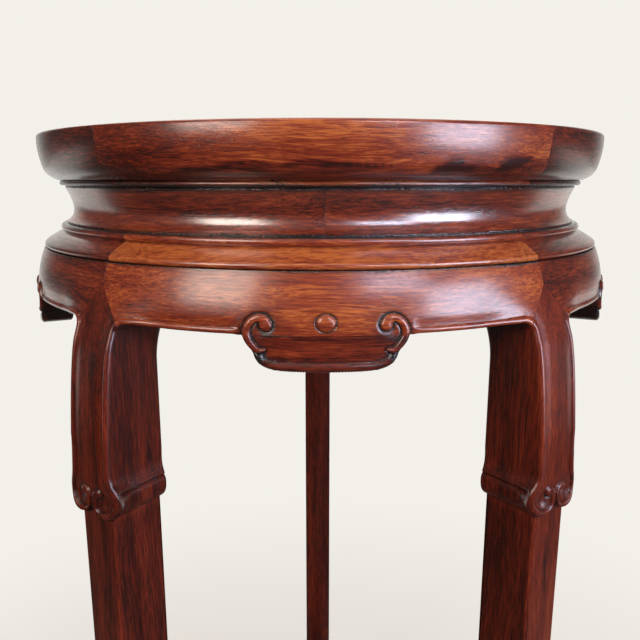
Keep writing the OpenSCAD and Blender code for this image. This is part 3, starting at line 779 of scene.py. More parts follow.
class STAND_OT_top_frame(StandOperator, Operator):
    """Builds the five members of the top's frame, with their moulded rim."""

    bl_idname = "stand.top_frame"
    bl_label = "Top frame"

    def execute(self, context):
        sizes, carving, colours = self.settings(context)
        inner = RIM_R - mm(sizes.frame_width)
        edge = mm(sizes.rim_round)
        turn = mm(sizes.rim_turn)
        foot = mm(sizes.rim_foot)
        face_end = (RIM_R - mm(sizes.rim_lean), turn)
        fillet = RIM_R - mm(sizes.fillet_setback)
        half = (FRAME_END - foot) / 2
        under_pull = (face_end[0] - UNDER_PULL[0], turn + UNDER_PULL[1])
        section = np.vstack([
            arc((inner + ARRIS, ARRIS), ARRIS, 180, 90, 4),
            arc((RIM_R - edge, edge), edge, 90, 0),
            bend((RIM_R, edge), (RIM_R + RIM_PULL, turn / 2), face_end, 32)[1:],
            bend(face_end, under_pull, (fillet + FILLET_STEP, foot), 20)[1:],
            arc((fillet - half, foot + half), half - FILLET_JOINT, 80, -90),
            [(inner, FRAME_END)]])

        def grime(azimuth, radius, drop):
            outside = radius > fillet - 6
            # Painted shade on the turned-under part, and old wax in the gap under the frame
            return outside * (RIM_UNDER_SHADE * smooth(drop, turn + 3, foot) + near(drop, FRAME_END, 1.1))

        def tone(azimuth, radius, drop):
            # The turned-under part is darker as painted shade
            return RIM_TONE["plain"] + RIM_TONE["under"] * smooth(drop, turn - 2, turn + 3)

        def front_tone(azimuth, radius, drop):
            along = RIM_R * np.radians(azimuth)
            border = np.interp(along, *np.vstack([line for _, line in RIM_FIGURE]).T)
            outside = radius > fillet + 1
            warmed = RIM_TONE["gain"] * smooth(azimuth, *RIM_WARMS) + RIM_TONE["left"]
            low = RIM_TONE["below"] * smooth(drop, border - 1, border + 2)
            # Painted shade on the turned-under part
            low = low + RIM_TONE["under"] * smooth(drop, turn - 3, turn + 3)
            return warmed + outside * (RIM_TONE["streak"] * self.streaks(along, drop) + low)

        finish = (waxed_rosewood("rosewood_rim_planed_waxed", colours), "frame_wood")
        ring("top_frame", section, self.joints(), mm(carving.joint_ease), finish, grime, tone, front_tone)
        return {"FINISHED"}

    def joints(self):
        """Azimuths of the joints between the members, from the ends of the front member."""
        side = math.degrees(math.asin(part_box("top_frame_1")[1].x / MM / RIM_R))
        return [-side, side, side + PITCH, 180, 360 - side - PITCH, 360 - side]

    def streaks(self, along, drop):
        """Strength of the dark streaks, which thin out towards both ends."""
        streaks = np.zeros(along.shape)
        for width, line in RIM_FIGURE:
            path = through(line)
            taper = width * np.sin(np.linspace(0.15, math.pi - 0.15, len(path))) ** 0.6
            streaks = np.maximum(streaks, near(rope(along, drop, path, taper), 0, 1.2))
        return streaks


# Profile of the waist: the flat land at its edges, how far those edges are eased above and below, and how
# far below its middle the hollow is pulled in
WAIST_LAND = 1.3
WAIST_EASE = (0.6, 0.4)
HOLLOW_LOW = 6
# Crust under the frame and over the moulding, and tones: of the upper waist, darkened as painted shade
# under the rim, and what the lower half, which faces up, gains as painted light
WAIST_GRIME = (0.92, 0.85)
WAIST_TONE_AND_SHADE = (-0.16, 0.16)


class STAND_OT_waist(StandOperator, Operator):
    """Builds the five hollow boards of the waist."""

    bl_idname = "stand.waist"
    bl_label = "Waist"

    def execute(self, context):
        sizes, carving, colours = self.settings(context)
        edge = RIM_R - mm(sizes.waist_setback)
        inner = waist_back(sizes)
        middle = (FRAME_END + WAIST_END) / 2
        hollow = (edge - 2 * mm(sizes.waist_hollow), middle + HOLLOW_LOW)
        section = np.vstack([
            [(inner, FRAME_END), (edge - WAIST_EASE[0], FRAME_END)],
            bend((edge, FRAME_END + WAIST_LAND), hollow, (edge, WAIST_END - WAIST_LAND), 40),
            [(edge - WAIST_EASE[1], WAIST_END), (inner, WAIST_END)]])

        def grime(azimuth, radius, drop):
            upper, lower = WAIST_GRIME
            return upper * smooth(drop - FRAME_END, 4.4, 0.6) + lower * smooth(WAIST_END - drop, 2.6, 0.4)

        def tone(azimuth, radius, drop):
            # Painted shade on the upper waist under the rim, lifted as painted light on the lower half,
            # which faces up
            upper, gain = WAIST_TONE_AND_SHADE
            return upper + gain * smooth(drop, middle - 3, WAIST_END - 3)

        finish = (waxed_rosewood("rosewood_waist_hollowed_waxed", colours, gloss=2.2), "waist_wood")
        joints = [number * PITCH for number in range(LEGS + 1)]
        ring("waist", section, joints, mm(carving.joint_ease), finish, grime, tone)
        return {"FINISHED"}


# Profile of the shoulder moulding: set-back and height of its bead, pull of the curve below the bead, end
# of that slope inside the rim and above the aprons, set-back and rounding of the lip
MOULDING_BEAD = (12, 5.1)
SLOPE_PULL = (3.6, 2.2)
SLOPE_END = (1.8, 4.3)
LIP_SETBACK = 0.3
LIP_ROUND = 2.1
# Grime under the waist, below the bead and under the lip
MOULDING_GRIME = (1, 0.6, 0.8)
# Tones of the moulding: the plain lengths, the front one, what that gains to the right, and its bead
MOULDING_TONE = {"plain": -0.16, "front": 0.34, "gain": 0.12, "bead": -0.3}
MOULDING_WARMS = (18, 33)


class STAND_OT_moulding(StandOperator, Operator):
    """Builds the five lengths of the shoulder moulding: a bead, a slope and a lip."""

    bl_idname = "stand.moulding"
    bl_label = "Shoulder moulding"

    def execute(self, context):
        sizes, carving, colours = self.settings(context)
        inner = waist_back(sizes)
        bead_r, bead_end = RIM_R - MOULDING_BEAD[0], WAIST_END + MOULDING_BEAD[1]
        bead_half = (bead_end - WAIST_END) / 2
        slope_pull = (bead_r + SLOPE_PULL[0], bead_end + SLOPE_PULL[1])
        slope_end = (RIM_R - SLOPE_END[0], APRON_TOP - SLOPE_END[1])
        section = np.vstack([
            [(inner, WAIST_END), (bead_r - 4, WAIST_END)],
            arc((bead_r - bead_half, WAIST_END + bead_half), bead_half, 85, -62, 10),
            bend((bead_r - 0.6, bead_end + 0.3), slope_pull, slope_end, 8),
            arc((RIM_R - LIP_SETBACK - LIP_ROUND, APRON_TOP - LIP_ROUND), LIP_ROUND, 78, -85, 8),
            [(inner, APRON_TOP)]])

        def grime(azimuth, radius, drop):
            waist, below_bead, lip = MOULDING_GRIME
            seam = waist * near(drop, WAIST_END, 0.9) + below_bead * near(drop, bead_end, 0.5)
            return seam * (radius > bead_r - 6) + lip * near(drop, APRON_TOP, 0.8) * (radius > RIM_R - 8)

        def tone(azimuth, radius, drop):
            return MOULDING_TONE["plain"]

        def front_tone(azimuth, radius, drop):
            warmed = MOULDING_TONE["front"] + MOULDING_TONE["gain"] * smooth(azimuth, *MOULDING_WARMS)
            return warmed + MOULDING_TONE["bead"] * smooth(drop, bead_end + 0.8, bead_end - 0.4)

        finish = (waxed_rosewood("rosewood_moulding_planed_waxed", colours, gloss=1.6), "moulding_wood")
        joints = [number * PITCH - HALF_PITCH for number in range(LEGS + 1)]
        ring("shoulder_moulding", section, joints, mm(carving.joint_ease), finish, grime, tone, front_tone)
        return {"FINISHED"}


def apron_wood(colours):
    """The wood of the aprons and of the blocks under them."""
    return waxed_rosewood("rosewood_apron_carved_waxed", colours)


# Half lengths along an apron: its finely carved middle, its plain stretch, and where its bead gives way to
# the pendant
CARVED = 47
PLAIN = 98
BEAD_STOPS = (49.5, 45.6)
# Share of an apron's height above which its face is plain, and easing of its back's lower edge
PLAIN_SHARE = 0.55
APRON_EASE = 0.8
# Darkening on an apron: painted shade in the cove beside its bead, old wax under the moulding and at the
# mitres, and a near-black back, a dark coat that also paints the back's shade
APRON_GRIME_AND_SHADE = {"bead": 0.5, "top": 0.8, "joint": 0.5, "back": 0.85}
# Tones of the aprons: the plain ones, the middle and the right end of the front one, the worn bead, and
# the wood down to the joint with the pendant
APRON_TONE = {"plain": -0.2, "middle": 0.2, "end": 0.12, "bead": 0.08, "low": -0.15}


class STAND_OT_aprons(StandOperator, Operator):
    """Builds the five aprons, mitred to the legs, with the upper part of their carved pendants."""

    bl_idname = "stand.aprons"
    bl_label = "Aprons"

    def execute(self, context):
        sizes, carving, colours = self.settings(context)
        full = apron_full(sizes)
        inner = full - mm(sizes.apron_thickness)
        reach = full * math.radians(HALF_PITCH)
        half_along = np.concatenate([np.arange(0, CARVED, 0.5), np.arange(CARVED, PLAIN, 2),
                                     np.arange(PLAIN, reach - 0.3, 0.8), [reach - 0.15, reach]])
        along = np.concatenate([-half_along[:0:-1], half_along])
        leg_distance = full * np.sin((reach - np.abs(along)) / full)
        bottom = self.lower_edge(sizes, carving, leg_distance)
        down = np.concatenate([np.linspace(0, PLAIN_SHARE, 9)[:-1], np.linspace(PLAIN_SHARE, 1, 32)])
        drop = APRON_TOP + (bottom - APRON_TOP)[:, None] * down
        radius, grime, worn = self.face(sizes, carving, columns(along, len(down)),
                                        columns(leg_distance, len(down)), drop, down)

        low = bottom[:, None]
        count = len(along)
        back_drop = np.hstack([low, low - APRON_EASE, (low + APRON_TOP) / 2, np.full((count, 2), APRON_TOP)])
        back_radius = np.tile([inner + APRON_EASE, inner, inner, inner, (inner + RIM_R) / 2], (count, 1))
        radius = np.hstack([radius, back_radius])
        drop = np.hstack([drop, back_drop])
        across = columns(leg_distance, drop.shape[1])
        across = across * (1 + (radius / full - 1) * smooth(across, 24, 60))
        hidden = np.zeros(back_drop.shape)
        # A near-black back: a dark coat that also paints the back's shade
        grime = np.hstack([grime, hidden + APRON_GRIME_AND_SHADE["back"]])
        side = np.where(along < 0, -1, 1)[:, None]
        for number in range(1, LEGS + 1):
            middle = (number - 1) * PITCH
            points = place(middle + side * HALF_PITCH, radius, -side * across, drop)
            tone = np.hstack([worn, hidden]) + self.tone(number, along)[:, None]
            grain = curved_board(points, middle, BOARDS["apron"] + number)
            loft(f"apron_{number}", points, grain, tone, grime, apron_wood(colours), "apron_wood")
        return {"FINISHED"}

    def lower_edge(self, sizes, carving, leg_distance):
        """Drop of an apron's lower edge: its mitre, the rounded corner of the opening, then level."""
        half = mm(sizes.leg_width) / 2
        turn = mm(carving.corner_round)
        inside = np.clip(half + turn - leg_distance, 0, turn)
        corner = APRON_EDGE + turn - np.sqrt(turn ** 2 - inside ** 2) - edge_lift(sizes, leg_distance)
        return np.minimum(corner, mitre_drop(sizes, carving, leg_distance))

    def face(self, sizes, carving, along, across, drop, down):
        """Radius, grime and painted shade, and tone of an apron's face: flared to the legs, beaded, carved
        at its middle.
        """
        relief, grime = pendant_relief(carving, along, drop)
        in_pendant = smooth(np.abs(along), *BEAD_STOPS)
        depth = opening_distance(sizes, carving, across, drop)
        width = mm(carving.bead_width)
        edging = bead(carving, depth, width) * (1 - in_pendant)
        joint = ((across < mitre_foot(sizes, carving)[0]) & (down > 0.999)) | (across < 0.05)
        radius = flare(sizes, across, drop) + relief * in_pendant + edging - mm(carving.joint_ease) * joint
        # Painted shade in the cove beside the bead
        grime = grime * in_pendant + APRON_GRIME_AND_SHADE["bead"] * near(depth, width, 0.5) * (1 - in_pendant)
        grime = grime + APRON_GRIME_AND_SHADE["top"] * near(drop, APRON_TOP, 0.7) + APRON_GRIME_AND_SHADE["joint"] * joint
        inside = np.abs(along) < PENDANT_JOINT
        grime = grime + PENDANT_JOINT_GRIME * in_pendant * near(drop, APRON_EDGE, 0.4) * inside
        worn = APRON_TONE["bead"] * near(depth, width / 2, 1) * (1 - in_pendant)
        worn = worn + APRON_TONE["low"] * in_pendant * smooth(drop, APRON_EDGE - 10, APRON_EDGE - 1)
        return radius, grime, worn

    def tone(self, number, along):
        """The front apron is warm at its middle and at its right end. The others are darker."""
        if number == 1:
            return APRON_TONE["middle"] * near(along, 10, 70) + APRON_TONE["end"] * smooth(along, 90, 118)
        return np.full(along.shape, APRON_TONE["plain"])


# A pendant's half length, how far its back lies in front of the apron's, and the near-black on that back,
# a dark coat that also paints the back's shade
PENDANT_HALF = 44.8
PENDANT_THIN = 2
PENDANT_BACK_COAT_AND_SHADE = 0.95
# Tones of the pendants: all over, and what changes at the middle, along an orange streak and at the bead
PENDANT_TONE = {"plain": -0.2, "middle": 0.12, "streak": 0.18, "low": -0.14}


class STAND_OT_pendants(StandOperator, Operator):
    """Builds the carved blocks that are glued under the aprons' edges."""

    bl_idname = "stand.pendants"
    bl_label = "Pendants"

    def execute(self, context):
        sizes, carving, colours = self.settings(context)
        full = apron_full(sizes)
        inner = full - mm(sizes.apron_thickness) + PENDANT_THIN
        along = np.arange(-PENDANT_HALF, PENDANT_HALF + 0.1, 0.4)
        bottom = np.maximum(pendant_outline(along), APRON_EDGE + 0.1)
        down = np.concatenate([[0, 0.008], np.linspace(0.03, 1, 40)])
        drop = APRON_EDGE + (bottom - APRON_EDGE)[:, None] * down
        place_along = columns(along, len(down))
        relief, grime = pendant_relief(carving, place_along, drop)
        joint = down < 0.001
        radius = full + relief - mm(carving.joint_ease) * joint
        inside = np.abs(place_along) < PENDANT_JOINT
        grime = grime + PENDANT_JOINT_GRIME * near(drop, APRON_EDGE, 0.4) * inside

        low = bottom[:, None]
        shallow = np.minimum(1, (low - APRON_EDGE) / 2)
        back_drop = np.hstack([low, low, low - shallow, np.full((len(along), 1), APRON_EDGE)])
        back_radius = np.tile([full - 4, inner + 1, inner, inner], (len(along), 1))
        radius = np.hstack([radius, back_radius])
        drop = np.hstack([drop, back_drop])
        # A near-black back: a dark coat that also paints the back's shade
        grime = np.hstack([grime, np.full(back_drop.shape, PENDANT_BACK_COAT_AND_SHADE)])
        below = drop - APRON_EDGE
        tone = PENDANT_TONE["middle"] * near(along, 0, 22)[:, None] + PENDANT_TONE["plain"]
        tone = tone + PENDANT_TONE["streak"] * near(below, 7.5, 2.6)
        tone = tone + PENDANT_TONE["low"] * smooth(below, 9.5, 12.5)
        turned = np.degrees(along / full)[:, None]
        for number in range(1, LEGS + 1):
            middle = (number - 1) * PITCH
            points = place(middle + turned, radius, 0, drop)
            grain = curved_board(points, middle, BOARDS["pendant"] + number)
            loft(f"pendant_{number}", points, grain, tone, grime, apron_wood(colours), "apron_wood")
        return {"FINISHED"}


# Middle line of a knee's scroll on one side, and the widths of a leg through its knee.
# Scroll points are a distance from the leg's middle and a distance below the apron's edge. The points of
# the lobes and of the rolls behind them are a distance below the apron's edge and half the leg's width.
KNEE_SCROLL = [(14.75, 60), (14.75, 80), (15.5, 90), (17.8, 95.6), (20.1, 99.6), (20.4, 103.4),
               (18.8, 107.6), (15.4, 110.8), (10.8, 112.6), (6.2, 112.2), (2.9, 110), (2, 106.5),
               (2.2, 102.8), (3.6, 100.2), (6, 99.6)]
KNEE_LOBES = [(84, 16.75), (88, 17), (92, 18.3), (96, 20.4), (100, 22), (104, 22.3), (107.5, 21.6),
              (110.5, 19.8), (112.6, 17.6), (113.8, 15.6), (114.4, 14.25)]
KNEE_ROLL = [(86, 16.75), (90, 17), (94, 17.8), (96.6, 18.7), (97.7, 19), (98.3, 18.3), (99.1, 19),
             (101, 19.8), (103.5, 20), (106, 19.9), (108, 19.5), (110, 18.6), (111.6, 17.3), (112.9, 15.7),
             (113.8, 14.25)]
# Half widths of the scroll's rope at shares of its length, its height and what that gains outwards, and the
# middle and width of its groove
KNEE_SWELL = [(0, 2), (0.75, 1.7), (0.9, 1.9), (1, 2.8)]
KNEE_RELIEF = (0.9, 0.5)
KNEE_GROOVE = (1.2, 0.3)
# One lobe's distance from the leg's middle, its middle below the apron's edge and its radius, and the depth
# of the bowl in it
KNEE_LOBE = (11.2, 103.6, 11.2)
KNEE_BOWL = 2.2
# Distances below the apron's edge: where the leg's bead turns into the scroll, and the knee's two ends
KNEE_FADE = (68, 90)
KNEE_START = 82
KNEE_END = 117
# Darkening of a leg: painted shade beside its bead, old wax at the mitre, painted shade in the scroll's
# groove, painted shadow under the lobes, and painted shade in the lobes' bowls, in the groove over a roll
# and under the roll
LEG_GRIME_AND_SHADE = {"bead": 0.5, "joint": 0.35, "groove": 0.55, "under": 0.6, "bowl": 0.5, "roll": 0.8, "end": 0.5}
# Tones of the legs' faces, of which the right front one is the lightest, partly as painted light from the
# right; of their flanks; of the painted shade on the flanks' tops under the aprons, which as painted light
# also lifts a band just below the knee; and of the worn beads
LEG_TONES_AND_LIGHT = (-0.31, -0.19, -0.26, -0.3, -0.26)
FLANK_TONE = -0.34
FLANK_SHADE = -0.12
WORN_TONE = 0.07
# Steps across a leg's face, how closely they crowd towards its edges, and the easing of its foot
FACE_STEPS = 91
FACE_CROWD = 0.82
FOOT_EASE = 0.5


class STAND_OT_legs(StandOperator, Operator):
    """Builds the five legs, with their facing between the aprons, beads, knee scrolls and hoof feet."""

    bl_idname = "stand.legs"
    bl_label = "Legs"

    def execute(self, context):
        sizes, carving, colours = self.settings(context)
        wood = waxed_rosewood("rosewood_leg_carved_waxed", colours, contrast=0.7, gloss=1.32)
        drop = self.levels(sizes, carving)
        below = drop - APRON_EDGE
        tip, wide = self.half_widths(sizes, carving, drop)
        share = np.sin(np.linspace(-1, 1, FACE_STEPS) * math.pi / 2 * FACE_CROWD)
        share = share / math.sin(math.pi / 2 * FACE_CROWD)
        across = tip * share
        level = columns(drop, len(share))
        radius, grime = self.face(sizes, carving, across, level)
        joint = (np.abs(share) > 0.999) & (level < mitre_foot(sizes, carving)[1])
        radius = radius - mm(carving.joint_ease) * joint
        grime = grime + LEG_GRIME_AND_SHADE["joint"] * joint
        core = apron_full(sizes) - mm(sizes.apron_thickness) - APRON_FIT
        radius = np.where(level < float(mitre_drop(sizes, carving, 0)), core, radius)
        radius = np.where(level < APRON_TOP, waist_back(sizes) - FIT, radius)
        opening = opening_distance(sizes, carving, across, level)
        worn = WORN_TONE * near(opening, mm(carving.bead_width) / 2, 1)

        # At the facing the flank starts at the facing's edge. Below it the lobes stand over the flank.
        edge_r = radius[:, -1:]
        seat = np.minimum(core, edge_r)
        rear = self.back_radius(sizes, drop)[:, None]
        corner = np.where(level[:, :1] < corner_end(sizes, carving), tip, wide)
        side_r = np.hstack([*(edge_r + (seat - edge_r) * k for k in (0.05, 0.11, 0.3, 0.65, 1)),
                            seat, (seat + rear) / 2, rear + 1.2, rear + 0.35, rear])
        side_t = np.hstack([*(tip + (corner - tip) * k for k in (0.35, 1, 1, 1, 1)),
                            wide, wide, wide, wide - 0.35, wide - 1.2])
        radius = np.hstack([radius, side_r, side_r[:, ::-1]])
        across = np.hstack([across, side_t, -side_t[:, ::-1]])
        hidden = np.zeros((len(drop), 2 * side_r.shape[1]))
        # Painted shade on the flanks in the groove over the roll and under the roll
        dirt_and_shade = LEG_GRIME_AND_SHADE["roll"] * near(below, 98.3, 0.6) + LEG_GRIME_AND_SHADE["end"] * near(below, 114.2, 0.8)
        # Painted shade on the flanks' tops under the aprons, and a painted light band just below the knee
        flank_shade_and_light = smooth(below, 12, -4) - near(below, 115, 3)
        grime = np.hstack([grime, dirt_and_shade[:, None] + hidden])
        flanks = FLANK_TONE + FLANK_SHADE * flank_shade_and_light[:, None] + hidden
        level = columns(drop, radius.shape[1])
        # Each face's tone is partly painted light, lightest on the right front leg
        for number, tone in enumerate(LEG_TONES_AND_LIGHT, 1):
            azimuth = (number - 1) * PITCH - HALF_PITCH
            points = place(azimuth, radius, across, level)
            a = math.radians(azimuth)
            grain = fibres(points, (0, 0, 1), (math.cos(a), math.sin(a), 0), BOARDS["leg"] + number)
            loft(f"leg_{number}", points, grain, np.hstack([worn + tone, flanks]), grime, wood, "leg_wood")
        return {"FINISHED"}

    def levels(self, sizes, carving):
        """Drops of the rows of a leg, close together at the facing, the knee and the foot."""
        apex = float(mitre_drop(sizes, carving, 0))
        knee_top, knee_end = APRON_EDGE + KNEE_START, APRON_EDGE + KNEE_END
        foot_top = HEIGHT - mm(sizes.foot_height)
        return np.concatenate([
            [FRAME_END, APRON_TOP - 0.01, APRON_TOP + 0.01, apex - 0.01],
            np.arange(apex, APRON_EDGE + 16, 0.6), np.arange(APRON_EDGE + 18, knee_top - 2, 3),
            np.arange(knee_top - 2, knee_end, 0.5), [knee_end + 2, knee_end + 7],
            np.linspace(knee_end + 20, foot_top - 4, 14), np.linspace(foot_top, HEIGHT - 0.8, 22),
            [HEIGHT - 0.2, HEIGHT]])

    def half_widths(self, sizes, carving, drop):
        """Half the width of a leg's face and of its flanks, row by row."""
        apex = float(mitre_drop(sizes, carving, 0))
        foot_across, foot_drop = mitre_foot(sizes, carving)
        turn = mm(carving.corner_round)
        rise = np.clip(corner_end(sizes, carving) - drop, 0, turn)
        corner = mm(sizes.leg_width) / 2 + turn - np.sqrt(turn ** 2 - rise ** 2)
        facing = np.minimum(corner, np.abs(drop - apex) * foot_across / (foot_drop - apex))
        lobes, roll = through(KNEE_LOBES, 10), through(KNEE_ROLL, 10)
        ease = np.where(drop > HEIGHT - FOOT_EASE, FOOT_EASE, 0)
        width = np.interp(drop - APRON_EDGE, lobes[:, 0], lobes[:, 1]) - ease
        flank = np.interp(drop - APRON_EDGE, roll[:, 0], roll[:, 1]) - ease
        front = np.where(drop < apex, 0, np.where(drop < corner_end(sizes, carving), facing, width))
        return np.maximum(front, 0.0005)[:, None], flank[:, None]

    def back_radius(self, sizes, drop):
        """Radius of a leg's back: post, curved core, upper leg, lower leg and the turned hoof."""
        leg_in = RIM_R + mm(sizes.leg_reach) - mm(sizes.leg_depth)
        shank_in = shank_face(sizes) - mm(sizes.shank_depth)
        hoof_in = shank_in - mm(sizes.foot_turn)
        post_in = waist_back(sizes) - FIT - mm(sizes.post_depth)
        curve_end = APRON_EDGE + mm(sizes.leg_back_curve)
        foot = HEIGHT - mm(sizes.foot_height)
        pad = HEIGHT - mm(sizes.foot_pad)
        line = np.vstack([
            [(post_in, 0)],
            bend((post_in, APRON_TOP), (leg_in, APRON_EDGE), (leg_in, curve_end), 40),
            [(leg_in, APRON_EDGE + KNEE_START), (shank_in, APRON_EDGE + KNEE_END)],
            bend((shank_in, foot), (shank_in, (foot + pad) / 2), (hoof_in, pad), 24),
            [(hoof_in, HEIGHT)]])
        return np.interp(drop, line[:, 1], line[:, 0])

    def face(self, sizes, carving, across, drop):
        """Radius, and grime and painted shade, of a leg's face: flared and beaded, scrolled at the knee,
        plain below it.
        """
        below = drop - APRON_EDGE
        side = np.abs(across)
        depth = opening_distance(sizes, carving, across, drop)
        width = mm(carving.bead_width)
        at_knee = smooth(below, *KNEE_FADE)
        path = through(KNEE_SCROLL)
        half = np.interp(np.linspace(0, 1, len(path)), *zip(*KNEE_SWELL))
        share = np.full(across.shape, 9.0)
        rows = (below[:, 0] > KNEE_FADE[0] - 2) & (below[:, 0] < KNEE_END)
        share[rows] = rope(side[rows], below[rows], path, half)
        scroll = (KNEE_RELIEF[0] + KNEE_RELIEF[1] * smooth(side, 8, 14)) * dome(share ** 2)
        groove = near(share, *KNEE_GROOVE) * (share > 0.9)
        lobe_t, lobe_d, lobe_r = KNEE_LOBE
        lobe_end = lobe_d + np.sqrt(np.clip(lobe_r ** 2 - (side - lobe_t) ** 2, 0, None))
        bowl = -KNEE_BOWL * near(side, 12, 5) * near(below, 104, 5.5)

        beaded = (1 - at_knee) * bead(carving, depth, width) * (below < KNEE_FADE[1])
        upper = flare(sizes, across, drop) + bowl * smooth(share, 0.9, 1.3) + beaded
        upper = upper + at_knee * (scroll - mm(carving.groove_depth) * groove)
        under = smooth(below - lobe_end, -0.9, 0.3) * smooth(below, 100, 102)
        plain = shank_face(sizes) - mm(carving.edge_round) * near(mm(sizes.shank_width) / 2 - side, 0, 0.6)
        radius = upper + (np.minimum(plain, upper) - upper) * under

        # Painted shade beside the bead, in the scroll's groove and in the lobes' bowls, and painted shadow
        # under the lobes
        darkening = LEG_GRIME_AND_SHADE
        grime = (1 - at_knee) * darkening["bead"] * near(depth, width, 0.5) * (below < KNEE_FADE[1])
        grime = grime + at_knee * darkening["groove"] * groove * (1 - under)
        grime = grime + darkening["under"] * near(below - lobe_end, 0.6, 0.9) * at_knee
        grime = grime + darkening["bowl"] * near(side, 11, 6) * near(below, 105, 6) * smooth(share, 0.8, 1.3)
        return radius, grime * (below < KNEE_END)


# Tones of the shelf's rails: all over, and what their worn edge gains; and the darkening where legs meet
# them
RAIL_TONE = (-0.06, 0.08)
RAIL_DARKENING = 0.7


class STAND_OT_shelf_rails(StandOperator, Operator):
    """Builds the five rails of the low shelf."""

    bl_idname = "stand.shelf_rails"
    bl_label = "Shelf rails"

    def execute(self, context):
        sizes, carving, colours = self.settings(context)
        outer = shelf_edge(sizes)
        inner = outer - mm(sizes.rail_width)
        edge = mm(sizes.shelf_round)
        section = np.vstack([
            arc((inner + ARRIS, SHELF_TOP + ARRIS), ARRIS, 180, 90, 4),
            arc((outer - edge, SHELF_TOP + edge), edge, 90, 0, 10),
            arc((outer - edge, SHELF_END - edge), edge, 0, -90, 10),
            [(inner, SHELF_END)]])

        def tone(azimuth, radius, drop):
            plain, worn = RAIL_TONE
            return plain + worn * near(drop, SHELF_TOP, 1.5) * (radius > outer - edge)

        def grime(azimuth, radius, drop):
            off_leg = (azimuth + HALF_PITCH + HALF_PITCH / 2) % PITCH - HALF_PITCH / 2
            # Darker along the outer edge close to each leg
            return RAIL_DARKENING * near(radius * np.radians(off_leg), 0, 15) * (radius > outer - 0.8)

        finish = (waxed_rosewood("rosewood_shelf_planed_waxed", colours), "shelf_wood")
        joints = [(number - 1) * PITCH for number in range(LEGS + 1)]
        ring("shelf_rail", section, joints, mm(carving.joint_ease), finish, grime, tone)
        return {"FINISHED"}


# Tones of a panel: all over, and what its margin adds; and the grime in the gap round it
PANEL_TONE = (0.03, -0.12)
PANEL_GRIME = 0.55
PANEL_MARGIN = 9


class STAND_OT_panels(StandOperator, Operator):
    """Builds the floating panels of the top and of the shelf."""

    bl_idname = "stand.panels"
    bl_label = "Panels"

    def execute(self, context):
        sizes, _, colours = self.settings(context)
        wood = waxed_rosewood("rosewood_panel_planed_waxed", colours, coarse=1.4)
        openings = (("top_panel", 0, RIM_R - mm(sizes.frame_width)),
                    ("shelf_panel", SHELF_TOP, shelf_edge(sizes) - mm(sizes.rail_width)))
        for number, (node, top, opening) in enumerate(openings, 1):
            edge = opening - mm(sizes.panel_gap)
            section = np.vstack([
                [(r, top) for r in np.linspace(0.01, edge - ARRIS - 0.1, 24)],
                arc((edge - ARRIS, top + ARRIS), ARRIS, 80, 0, 5),
                [(edge, top + PANEL_T), (0.01, top + PANEL_T)]])
            around = np.linspace(0, 360, 160, endpoint=False)
            points = place(around, section[:, :1], 0, section[:, 1:])
            grain = fibres(points, (1, 0, 0), (0, 1, 0), BOARDS["panel"] + number)
            radius = columns(section[:, 0], len(around))
            tone = PANEL_TONE[0] + PANEL_TONE[1] * smooth(radius, edge - PANEL_MARGIN, edge)
            grime = PANEL_GRIME * near(radius, edge, 0.9)
            loft(node, points, grain, tone, grime, wood, "panel_wood")
        return {"FINISHED"}


class STAND_OT_hidden_joinery(StandOperator, Operator):
    """Finishes the battens, loose tongues and pins, which keep their own solids."""

    bl_idname = "stand.hidden_joinery"
    bl_label = "Battens, tongues and pins"

    def execute(self, context):
        colours = context.scene.stand_colours
        batten = bare_wood("rosewood_batten_planed_bare", colours.bare, along=1, streak=1.6)
        tongue = bare_wood("rosewood_tongue_sawn_bare", colours.bare, along=0, streak=1.2)
        pin = bare_wood("bamboo_pin_split_bare", colours.cane, along=2, streak=0.6)
        finishes = {"top_batten_left": batten, "top_batten_right": batten, "shelf_batten_left": batten,
                    "shelf_batten_right": batten, "top_frame_splines": tongue, "shelf_splines": tongue,
                    "moulding_pins": pin}
        for node, material in finishes.items():
            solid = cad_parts[node]
            solid.data.materials.clear()
            solid.data.materials.append(material)
        return {"FINISHED"}


# Each light's width and height in metres, its azimuth and elevation in degrees, and its distance in metres
# from the point that it faces
LIGHTS = {"key": (0.6, 0.62, 48, 4, 1.35), "high": (0.45, 0.35, 25, 24, 1.3),
          "fill": (0.5, 0.6, -36, 20, 1.2), "back": (2.4, 1.6, -176, 42, 1.9),
          "above": (1.5, 1.5, 0, 85, 1.3)}
COOL_LIGHTS = ("key", "high")
# Share of the stand's height that the lights face
LIT_HEIGHT = 0.9
# Distances in metres, or shares of a direction, over which the surroundings turn into those behind
BEHIND = {"From Min": 0.6, "From Max": 1.0}
# Distances from the axis, in metres, over which the floor fades into the background, and the least share
FLOOR_FADE = {"From Min": 0.3, "From Max": 1.2, "To Min": 0.45}
FLOOR_R = 9000.0
FLOOR_SIDES = 96


